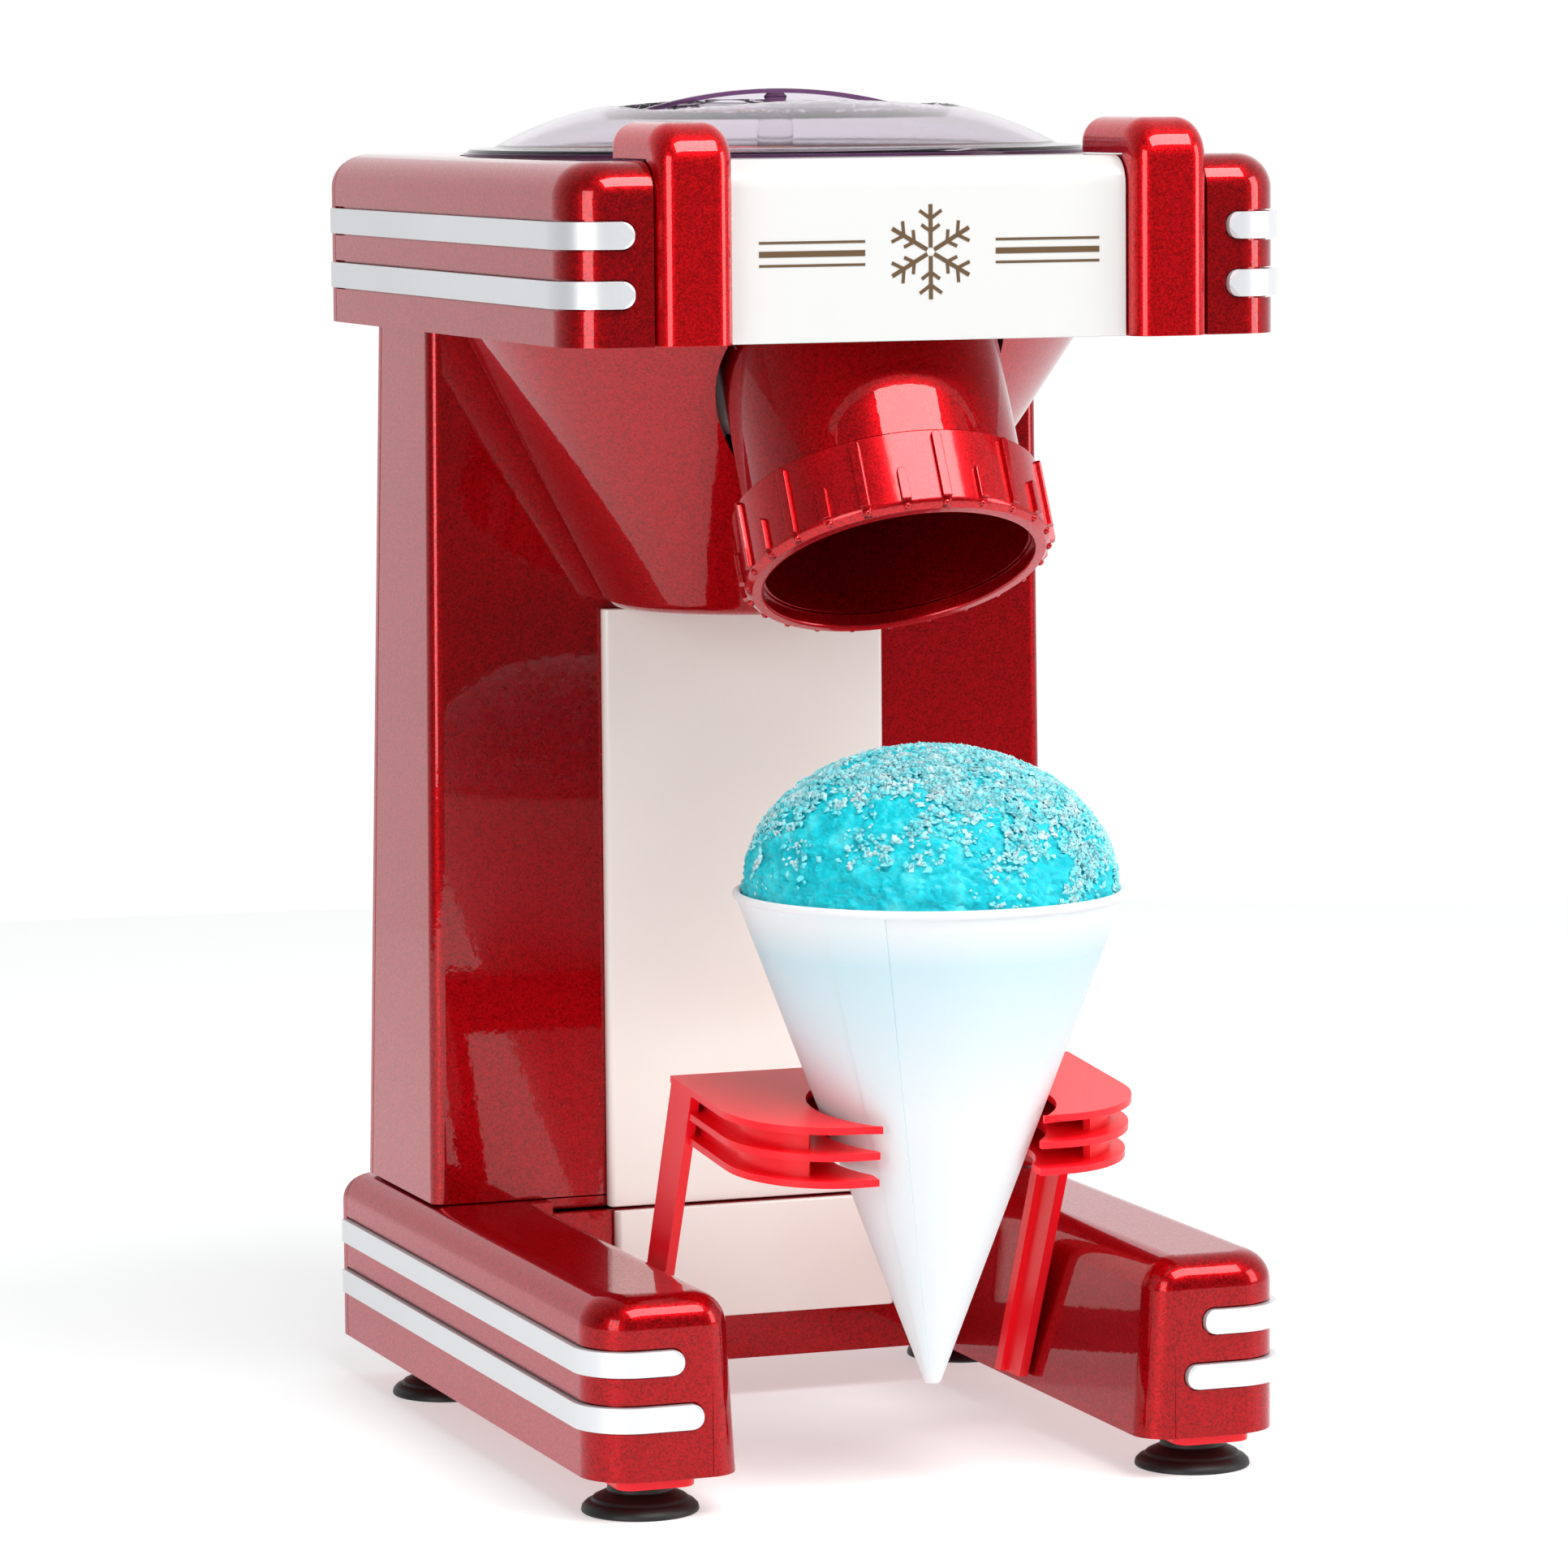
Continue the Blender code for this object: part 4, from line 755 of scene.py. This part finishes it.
def build_head():
    seam = HEAD_REAR - COVER
    middle = (0, HOPPER_Y)
    shell = head_block()
    cut(shell, slab(y=(seam, FAR)))
    inside_x, inside_y = (-HEAD_X + WALL, HEAD_X - WALL), (SEAT_FRONT + WALL, seam + 0.01)
    hollow = block(inside_x, inside_y, (0.27, HEAD_TOP - WALL))
    round_edges(hollow, 0.0060, 5, lambda a, b: abs(a.x - b.x) < 1e-5 and min(a.z, b.z) > 0.3)
    cut(shell, hollow)
    join(shell, rod(0.0830, 0.3015, HEAD_TOP - 0.0010, 96, middle))
    cut(shell, slab((-PILLAR_OUT - GAP, PILLAR_OUT + GAP), (-FAR, SEAT_FRONT), (0.0, FAR)))
    cut(shell, slab((-PILLAR_IN, PILLAR_IN), (-FAR, PANEL_REAR + GAP), (HEAD_TOP - 0.0022, FAR)))
    for radius, low in ((RECESS_R, RECESS_FLOOR), (0.0722, 0.3095), (0.0690, 0.29)):
        cut(shell, rod(radius, low, 0.34, 96, middle))
    rows = (("upper", 0.3036, 0.0749, 0.0064), ("lower", 0.2898, 0.0749, 0.0064))
    trim(shell, "head", HEAD_X, HEAD_FRONT, seam - 0.0006, rows)
    piece("head_shell_painted", shell, RED, "head_shell", edge=0.0003)

    cover = keep(head_block(), slab(y=(seam + GAP, FAR), z=(0.0, FAR)))
    piece("head_rear_cover_painted", cover, RED, "head_rear_cover", edge=0.0003)

    at_top = at_height(HEAD_TOP)
    front = block((-PILLAR_IN + GAP, PILLAR_IN - GAP), (PANEL_FRONT, PANEL_REAR), (HEAD_LOW, HEAD_TOP))
    round_edges(front, 0.0070, 10, lambda a, b: at_top(a, b) and max(a.y, b.y) < -0.09)
    panel = solid(front)
    cut(panel, slab(y=(SEAT_FRONT - GAP, 0.0), z=(0.0, HEAD_TOP - 0.0019)))
    cut(panel, rod(RECESS_R + GAP, 0.30, 0.34, 96, middle))
    piece("front_panel_moulded", panel, CREAM, "front_panel", edge=0.0003)

    at_crest = at_height(PILLAR_TOP)
    for word, side in SIDES:
        x = sorted((side * PILLAR_IN, side * PILLAR_OUT))
        bm = block(x, (BASE_FRONT, PILLAR_REAR), (HEAD_LOW, PILLAR_TOP))
        round_edges(bm, 0.0100, 14, lambda a, b: at_crest(a, b) and max(a.y, b.y) < BASE_FRONT + 0.001)
        round_edges(bm, 0.0060, 10, lambda a, b: at_crest(a, b) and min(a.y, b.y) > PILLAR_REAR - 0.001)
        round_edges(bm, 0.0058, 10, lambda a, b: abs(a.x - b.x) < 1e-6 and max(a.z, b.z) > HEAD_LOW + 0.001)
        pillar = solid(bm)
        cut(pillar, slab(y=(SEAT_FRONT - GAP, 0.0), z=(0.0, HEAD_TOP + GAP)))
        # The pillars take the lighter red copy: painted light.
        piece(f"pillar_{word}_painted", pillar, LIT_PILLAR_RED, f"pillar_{word}", edge=0.0002)


# ---- Lid and hopper ----
DOME_CREST, DOME_FOOT_R, DOME_SQUARE, DOME_FOURTH = 0.3363, 0.0701, 1.393, 271.0
GRIP_FLOOR, GRIP_X, GRIP_Y, LID_CREST = 0.3296, 0.0450, 0.0370, 0.3367


def dome_height(x, y):
    """The top of the lid: a dome, flatter in the middle, with a rounded finger hollow round the grip."""
    r2 = x * x + y * y
    dome = DOME_CREST - DOME_SQUARE * r2 - DOME_FOURTH * r2 * r2
    oval = ((x / GRIP_X) ** 4 + (y / GRIP_Y) ** 4) ** 0.25
    wall = GRIP_FLOOR + max(0.0, oval - 0.90) * 0.060
    blend = 0.0005
    share = max(0.0, min(1.0, 0.5 + 0.5 * (wall - dome) / blend))
    return wall * (1 - share) + dome * share - blend * share * (1 - share)


LID_STEPS, LID_RINGS, LID_WALL, LID_DRAW_IN = 192, 88, 0.0016, 0.972


def lid_skin():
    """The clear lid: its dome, its rim and skirt, and the dome's underside, which is drawn in a little."""
    bm = bmesh.new()
    tops, unders = [], []
    for ring in range(LID_RINGS + 1):
        radius = DOME_FOOT_R * ring / LID_RINGS
        spots = [polar(radius, 360 * i / LID_STEPS) for i in range(LID_STEPS if ring else 1)]
        tops.append([bm.verts.new((x, y, dome_height(x, y))) for x, y in spots])
        inner = [(x * LID_DRAW_IN, y * LID_DRAW_IN, dome_height(x, y) - LID_WALL) for x, y in spots]
        unders.append([bm.verts.new(spot) for spot in inner])
    rim = [
        (0.0712, 0.3226), (0.0745, 0.3224), (0.0765, 0.3222), (0.0770, 0.3217), (0.0770, 0.3206),
        (0.0766, 0.3203), (0.0665, 0.3203), (0.0665, 0.3152), (0.0650, 0.3152), (0.0650, 0.3204),
    ]  # fmt: skip
    skin(bm, tops + [ring_of(bm, radius, z, LID_STEPS) for radius, z in rim] + unders[::-1])
    return bm


def build_lid():
    lid = solid(lid_skin())
    sag = LID_CREST - GRIP_FLOOR
    half = GRIP_X - 0.0030
    bow = (half**2 + sag**2) / (2 * sag)
    reach = degrees(asin(half / bow))
    arch = arc((0, LID_CREST - bow), bow, 90 + reach, 90 - reach, 40)
    rib = extruded([arch + [(half, GRIP_FLOOR - 0.0006), (-half, GRIP_FLOOR - 0.0006)]], -0.0011, 0.0011)
    round_edges(rib, 0.0005, 3, lambda a, b: min(a.y, b.y) > GRIP_FLOOR and abs(a.z - b.z) < 1e-6)
    join(lid, moved(rib, turn=90, axis="X"))
    lid.data.transform(Matrix.Translation(ON_HOPPER))
    piece("lid_clear", lid, LID, "lid_dome", edge=0)

    # Darker lines along the grip's crest, its sill, the knob under the crest and the lid's rim: painted
    # shade where the clear edges look dark.
    band = 0.0011
    low_arch = arc((0, LID_CREST - bow), bow - band, 90 - reach, 90 + reach, 40)
    sill = [(-half, 0.3303), (half, 0.3303), (half, 0.3293), (-half, 0.3293)]
    bars = [extruded([outline], -0.0013, 0.0013) for outline in (arch + low_arch, sill)]
    edges = [moved(bar, ON_HOPPER, turn=90, axis="X") for bar in bars]
    knob = [(0, 0.0010), (0.0022, 0.0008), (0.0030, 0.0), (0.0026, -0.0014), (0.0014, -0.0022), (0, -0.0024)]
    edges.append(moved(turned(knob, 32), (0, HOPPER_Y, LID_CREST - band - 0.0008)))
    rim_line = [(LID_R - 0.0009, 0.3215), (LID_R, 0.3213), (LID_R, 0.3206), (LID_R - 0.0009, 0.3205)]
    edges.append(moved(turned(rim_line, LID_STEPS), ON_HOPPER))
    piece("lid_edge_painted_shade", joined(edges), LID_EDGE_SHADE, body="lid", slot="clear_lid", edge=0)

    pusher = [
        (0, 0.3282), (0.0040, 0.3280), (0.0045, 0.3270), (0.0045, 0.3085), (0.0060, 0.3074),
        (0.0440, 0.3072), (0.0450, 0.3066), (0.0450, 0.3054), (0.0446, 0.3050), (0, 0.3050),
    ]  # fmt: skip
    piece("ice_pusher_clear", moved(turned(pusher, 72), ON_HOPPER), PUSHER, "ice_pusher", edge=0)

    ring = rounded_profile([(0.0785, 0.3200), (0.0785, 0.3171), (0.0728, 0.3171), (0.0728, 0.3200)], 0.0006)
    piece("press_ring_moulded", moved(turned(ring, 128), ON_HOPPER), BLACK, "press_ring", edge=0)
    for number, angle in enumerate(SPRING_ANGLES, 1):
        x, y = polar(SPRING_R, angle)
        press_spring(f"press_spring_{number}", (x, HOPPER_Y + y))
    bowl = [
        (0.0718, 0.3122), (0.0718, 0.3098), (0.0686, 0.3098), (0.0660, 0.3050), (0.0540, 0.2880),
        (0.0540, 0.2862), (0.0500, 0.2862), (0.0500, 0.2878), (0.0638, 0.3060), (0.0672, 0.3122),
    ]  # fmt: skip
    bowl = turned(rounded_profile(bowl, 0.0010), 128)
    piece("hopper_bowl_painted", moved(bowl, ON_HOPPER), RED, "hopper_bowl", edge=0)


def press_spring(name, at, turns=3, radius=0.0019, wire=0.00038):
    """A return spring: a coil of round wire."""
    steps, sides = 24 * turns, 10
    low, high = SPRING_LOW + wire, SPRING_TOP - wire
    bm = bmesh.new()
    rings = []
    for step in range(steps + 1):
        turn, z = 360 * step / 24, low + (high - low) * step / steps
        ring = []
        for side in range(sides):
            out, up = polar(wire, 360 * side / sides)
            x, y = polar(radius + out, turn)
            ring.append(bm.verts.new((at[0] + x, at[1] + y, z + up)))
        rings.append(ring)
    skin(bm, rings)
    bm.faces.new(rings[0])
    bm.faces.new(rings[-1])
    spring = piece(f"{name}_coil", bm, STEEL, name, edge=0)
    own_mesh(spring)


# ---- Chute ----
def build_chute():
    tube = [(CHUTE_R, 0.0900), (CHUTE_R, 0.0036), (CHUTE_BORE, 0.0036), (CHUTE_BORE, 0.0900)]
    barrel = solid(moved(turned(tube, 128), CHUTE_MOUTH, tilt=-CHUTE_TILT))
    cut(barrel, rod(0.0546, 0.2526, 0.40, 96, (0, HOPPER_Y)))
    cut(barrel, slab(z=(HEAD_LOW - GAP, FAR)))
    piece("chute_barrel_painted", barrel, RED, "chute_barrel", edge=0.0003)

    body = [
        (COLLAR_ROOT_R, COLLAR_LENGTH - 0.0004), (COLLAR_ROOT_R - 0.0004, COLLAR_LENGTH),
        (CHUTE_R + GAP, COLLAR_LENGTH), (CHUTE_R + GAP, 0.0033), (0.0330, 0.0033), (0.0330, 0.0006),
        (0.0333, 0.0001), (0.0340, 0.0), (0.0358, 0.0001), (0.0370, 0.0012), (COLLAR_ROOT_R, 0.0024),
    ]  # fmt: skip
    collar = solid(turned(body, 192))
    for number in range(COLLAR_RIBS):
        top = 0.0105 if number % 2 else COLLAR_LENGTH - 0.0008
        rib = block((0.0360, COLLAR_R), (-0.0012, 0.0012), (0.0022, top))
        round_edges(rib, 0.0011, 5, lambda a, b: min(a.z, b.z) > 0.005 and abs(a.x - b.x) > 0.001)
        round_edges(rib, 0.0003, 2, lambda a, b: min(a.x, b.x) > 0.0380)
        angle = number * 360 / COLLAR_RIBS
        join(collar, moved(rib, turn=angle))
        bead = bmesh.new()
        bmesh.ops.create_icosphere(bead, subdivisions=2, radius=0.0010)
        join(collar, moved(moved(bead, (0.0366, 0, 0.0012)), turn=angle))
    collar.data.transform(Matrix.Translation(CHUTE_MOUTH) @ Matrix.Rotation(radians(-CHUTE_TILT), 4, "X"))
    piece("chute_collar_painted", collar, COLLAR_RED, "chute_collar", edge=0)


# ---- Cone holder ----
def cone_radius(z):
    return CONE_TIP_R + (CONE_R - CONE_TIP_R) * (z - CONE_TIP) / (CONE_RIM - CONE_TIP)


def holder_drop(y):
    return (y - HOLDER_BACK) * tan(radians(HOLDER_TILT))


def shelf_outline(inset, bite):
    x, back, front = HOLDER_X - inset, HOLDER_BACK - inset, HOLDER_FRONT + inset
    corner = 0.0260 - inset
    turn = degrees(asin(HOLDER_MOUTH / bite))
    edge = [(0, back), (x, back)] + arc((x - corner, front + corner), corner, 0, -90, 20)
    edge.append((HOLDER_MOUTH, front))
    return edge + arc((0, CONE_Y), bite, -90 + turn, 90, 36)


def mirrored(half):
    return half + [(-x, y) for x, y in reversed(half[1:-1])]


def holder_layer(outline, low, high):
    bm = extruded([outline], low, high)
    for vert in bm.verts:
        vert.co.z += HOLDER_TOP + holder_drop(vert.co.y)
    return bm


def holder_arm(side, thick, wide, foot_y):
    """A flat arm, or the spine along its rear edge, from under the top shelf down to the base."""

    def corner(sx, sy, sz):
        span = (HOLDER_BACK - wide, HOLDER_BACK) if sz > 0 else foot_y
        y = span[sy > 0]
        z = HOLDER_TOP - SHELF / 2 + holder_drop(y) if sz > 0 else 0.0133
        outer = 0.0516 if sz > 0 else 0.0508
        return (side * (outer if sx * side > 0 else outer - thick), y, z)

    return cube_of(corner)


def build_holder():
    shapes = []
    for number in range(3):
        high = -number * SHELF_PITCH
        bite = cone_radius(HOLDER_TOP + high) + 0.0010
        shapes.append(holder_layer(mirrored(shelf_outline(0.0008 * number, bite)), high - SHELF, high))
    low = -2 * SHELF_PITCH - SHELF / 2
    centre, outer_r, wall = (0.0260, -0.0900), 0.0210, 0.0022
    rear, inner_x = HOLDER_BACK - 0.0005, centre[0] + outer_r - wall
    outer = [(0, rear), (HOLDER_X - 0.0050, rear)] + arc(centre, outer_r, 0, -62, 16)
    inner = arc(centre, outer_r - wall, -62, 0, 16) + [(inner_x, rear - wall), (0, rear - wall)]
    shapes.append(holder_layer(mirrored(outer + inner), low, -SHELF / 2))
    for _, side in SIDES:
        for thick, wide, foot_front in ((0.0024, 0.0146, -0.0304), (0.0038, 0.0040, -0.0211)):
            shapes.append(holder_arm(side, thick, wide, (foot_front, -0.0171)))
    piece("cone_holder_moulded", joined(shapes), HOLDER_RED, "cone_holder", edge=0.0004)


# ---- Paper cone and ice ----
ICE_R, ICE_BASE, ICE_LOW = CONE_R - 0.0020, CONE_RIM - 0.0010, CONE_TIP + 0.0200
CRYSTALS = 15000


def build_cone():
    lip = arc((CONE_R - 0.0006, CONE_RIM - 0.0004), 0.0010, 200, -100, 14)
    inside = [(CONE_R - 0.0018, CONE_RIM - 0.0010)]
    outside = [(CONE_R - 0.0009, CONE_RIM - 0.0022)]
    tip = [(CONE_TIP_R + 0.0001, CONE_TIP + 0.0006), (CONE_TIP_R - 0.0004, CONE_TIP), (0, CONE_TIP)]
    low = CONE_TIP + 0.0030
    profile = [(0, low), (cone_radius(low) - PAPER, low)] + inside + lip + outside + tip
    piece("cone_cup_paper", moved(turned(profile, 144), ON_CONE), PAPER_WHITE, "cone_cup", edge=0, angle=60)

    flap = bmesh.new()
    columns, low, high = 12, CONE_TIP + 0.0040, CONE_RIM - 0.0012
    grid = []
    for lift in (-0.0003, 0.00028):
        for z in (low, high):
            angles = [-144 + 20 * step / columns for step in range(columns + 1)]
            grid.append([flap.verts.new((*polar(cone_radius(z) + lift, angle), z)) for angle in angles])
    for a, b in ((0, 1), (1, 3), (3, 2), (2, 0)):
        for i in range(columns):
            flap.faces.new((grid[a][i], grid[a][i + 1], grid[b][i + 1], grid[b][i]))
    for end in (0, -1):
        flap.faces.new((grid[0][end], grid[1][end], grid[3][end], grid[2][end]))
    flap = moved(flap, ON_CONE)
    piece("cone_cup_overlap", flap, PAPER_WHITE, body="cone", slot="white_paper", edge=0.0001, angle=40)


def mound_point(angle, tilt):
    """A point on the smooth mound and its normal; tilt 0 is the top and pi / 2 the rim."""
    radius = ICE_R * sin(tilt)
    z = ICE_BASE + (ICE_TOP - 0.0016 - ICE_BASE) * cos(tilt) ** 0.94
    normal = Vector((cos(angle) * sin(tilt), sin(angle) * sin(tilt), cos(tilt) * 0.95 + 0.02)).normalized()
    return Vector((radius * cos(angle), radius * sin(angle), z)), normal


def crystal_share(point):
    """How thickly the pale crystals lie: most near the top and one side, with gaps of bare syrup."""
    height = (point.z - ICE_BASE) / (ICE_TOP - ICE_BASE)
    patches = noise.noise(point * 75) * 0.55 + noise.noise(point * 190 + Vector((3, 1, 2))) * 0.45
    lean = point.x / ICE_R * 0.30 + point.y / ICE_R * 0.25
    return 0.50 + patches * 1.25 + (height - 0.42) * 0.95 + lean


def build_ice():
    """A mound with a granular skin, and pale crystals that lie thicker towards the top."""
    draw = np.random.default_rng(11)
    bm = bmesh.new()
    steps, rings = 420, 126
    loops = [[bm.verts.new(mound_point(0, 0)[0])]]
    for ring in range(1, rings + 1):
        tilt = pi / 2 * ring / rings
        loop = []
        for i in range(steps):
            point, normal = mound_point(2 * pi * i / steps, tilt)
            grain = noise.noise(point * 170) * 0.0008 + noise.noise(point * 520) * 0.0007
            grain += abs(noise.noise(point * 1150)) * 0.0010
            hold = min(1.0, (rings - ring) / 5)
            loop.append(bm.verts.new(point + normal * ((grain - 0.0005) * hold)))
        loops.append(loop)
    low_r = cone_radius(ICE_LOW) - PAPER - 2 * GAP
    for radius, z in ((ICE_R - 0.0012, ICE_BASE - 0.0030), (low_r, ICE_LOW), (0, ICE_LOW)):
        loops.append(ring_of(bm, radius, z, steps))
    skin(bm, loops)
    piece("shaved_ice_mound", moved(bm, ON_CONE), ICE, "shaved_ice", edge=0, angle=50)

    chips = bmesh.new()
    placed = 0
    while placed < CRYSTALS:
        tilt = np.arccos(1 - draw.random() * 0.985)
        point, normal = mound_point(draw.random() * 2 * pi, tilt)
        if draw.random() > crystal_share(point):
            continue
        size = 0.00045 + 0.00080 * draw.random() ** 2.0
        crystal(chips, draw, point + normal * (size * 0.1), normal, size)
        placed += 1
    for vert in chips.verts:
        radius = sqrt(vert.co.x**2 + vert.co.y**2)
        limit = ICE_R + 0.0006 if vert.co.z < CONE_RIM + 0.0030 else CONE_LIP_R - 0.0012
        if radius > limit:
            vert.co.xy *= limit / radius
        vert.co.z = max(min(vert.co.z, ICE_TOP - 0.0002), CONE_RIM - 0.0004)
    chips = moved(chips, ON_CONE)
    piece("shaved_ice_crystals", chips, CRYSTAL, body="cone", slot="blue_ice", edge=0, angle=20)


def crystal(bm, draw, at, normal, size):
    """A small uneven eight-sided chip that lies nearly flat on the mound."""
    lie = normal.to_track_quat("Z", "Y").to_matrix()
    lean = Matrix.Rotation((draw.random() - 0.5) * 1.6, 3, "X")
    turn = lie @ (lean @ Matrix.Rotation(draw.random() * 2 * pi, 3, "Z"))
    tips = [(1, 0, 0), (0, 1, 0), (-1, 0, 0), (0, -1, 0), (0, 0, 0.55), (0, 0, -0.55)]
    verts = [bm.verts.new(at + turn @ (Vector(tip) * size * (0.6 + 0.8 * draw.random()))) for tip in tips]
    for i in range(4):
        j = (i + 1) % 4
        bm.faces.new((verts[i], verts[j], verts[4]))
        bm.faces.new((verts[j], verts[i], verts[5]))


# ---- Generic ornament on the front panel ----
def ink_bar(x, z):
    """A thin raised line of ink, which reaches a little into the panel."""
    return block(x, (-0.00012, 0.0002), z)


def build_ornament():
    """A plain six-armed snow star between two groups of pinstripes."""
    shapes = []
    for turn in range(0, 360, 60):
        shapes.append(moved(ink_bar((-0.0005, 0.0005), (0.0010, 0.0112)), turn=turn, axis="Y"))
        for at, length in ((0.0048, 0.0028), (0.0078, 0.0034)):
            for lean in (-55, 55):
                twig = moved(ink_bar((-0.0004, 0.0004), (0.0, length)), (0, 0, at), turn=lean, axis="Y")
                shapes.append(moved(twig, turn=turn, axis="Y"))
    for side in (-1, 1):
        for z, half in ((0.0, 0.0007), (-0.0027, 0.0003), (0.0027, 0.0003)):
            shapes.append(ink_bar(sorted((side * 0.0165, side * 0.0430)), (z - half, z + half)))
    ink = joined([moved(bm, (0.0, PANEL_FRONT, 0.2985)) for bm in shapes])
    piece("front_panel_motif", ink, INK, body="machine", slot="cream_plastic", edge=0)


# ---- Camera, light and floor ----
CAMERA_AT, CAMERA_LENS = (-0.5836, -1.5957, 0.3441), 157.64
CAMERA_TURN, CAMERA_PITCH, CAMERA_ROLL = 19.79887, 6.03105, -0.46883
STUDIO_TURN = 19.8


def place_camera():
    turn, pitch, roll = radians(CAMERA_TURN), radians(CAMERA_PITCH), radians(CAMERA_ROLL)
    ahead = Vector((sin(turn) * cos(pitch), cos(turn) * cos(pitch), -sin(pitch)))
    level = Vector((cos(turn), -sin(turn), 0))
    above = level.cross(ahead)
    right = level * cos(roll) + above * sin(roll)
    up = above * cos(roll) - level * sin(roll)
    data = bpy.data.cameras.new("camera")
    data.lens, data.sensor_width = CAMERA_LENS, 36
    data.clip_start, data.clip_end = 0.05, 50
    camera = bpy.data.objects.new("camera", data)
    bpy.context.scene.collection.objects.link(camera)
    camera.matrix_world = Matrix.Translation(CAMERA_AT) @ Matrix((right, up, -ahead)).transposed().to_4x4()
    bpy.context.scene.camera = camera


def soft_light(name, azimuth, elevation, distance, size, power, target=(0, 0, 0.17)):
    """A rectangular light that faces the machine. Azimuth 0 is in front, and 90 is to the right."""
    a, e = radians(azimuth), radians(elevation)
    way = Vector((sin(a) * cos(e), -cos(a) * cos(e), sin(e)))
    data = bpy.data.lights.new(name, "AREA")
    data.shape = "RECTANGLE"
    data.size, data.size_y = size
    data.energy = power
    light = bpy.data.objects.new(name, data)
    bpy.context.scene.collection.objects.link(light)
    light.location = Vector(target) + way * distance
    light.rotation_mode = "QUATERNION"
    light.rotation_quaternion = (-way).to_track_quat("-Z", "Y")


def build_world():
    """White behind and at the sides, dimmer in front, as with a white sweep."""
    world = bpy.data.worlds.new("studio")
    bpy.context.scene.world = world
    world.use_nodes = True
    place = node(world, "ShaderNodeTexCoord")
    turn = node(world, "ShaderNodeMapping")
    turn.inputs["Rotation"].default_value = (0, 0, radians(STUDIO_TURN))
    axes = node(world, "ShaderNodeSeparateXYZ")
    reach = node(world, "ShaderNodeMapRange")
    reach.inputs["From Min"].default_value = -1.0
    wire(world, place.outputs["Generated"], turn.inputs["Vector"])
    wire(world, turn.outputs["Vector"], axes.inputs["Vector"])
    wire(world, axes.outputs["Y"], reach.inputs["Value"])
    stops = ((0.32, (0.13, 0.13, 0.135)), (0.97, (1.0, 1.0, 1.0)))
    back = world.node_tree.nodes["Background"]
    ramp(world, reach.outputs["Result"], stops, back.inputs["Color"])
    back.inputs["Strength"].default_value = 1.0


def build_floor():
    bm = bmesh.new()
    bmesh.ops.create_circle(bm, cap_ends=True, segments=96, radius=1.1)
    floor = solid(bm)
    mat = new_material(
        "pale_floor", Base_Color=(0.62, 0.64, 0.64), Roughness=0.6, Specular_IOR_Level=0.05,
        Emission_Color=(1, 1, 1), Emission_Strength=0.475,
    )  # fmt: skip
    grain = texture(mat, "ShaderNodeTexNoise", 30, 3.0)
    spread(mat, output_of(grain), 0.5, 0.6)
    floor.data.materials.append(mat)


place_camera()
build_world()
soft_light("key", 15, 52, 1.6, (1.3, 0.75), 31)
soft_light("left_fill", -50, 10, 1.6, (0.6, 0.9), 8)
soft_light("right_fill", 62, 14, 1.6, (0.5, 0.9), 7)
build_floor()
bpy.context.scene.view_settings.view_transform = "Standard"

build_base()
for word, side in SIDES:
    screw(f"base_screw_{word}", (side * FOOT_X, 0.0, BASE_LOW - GAP), 0)
build_column()
build_head()
build_lid()
build_chute()
build_holder()
build_cone()
build_ice()
build_ornament()
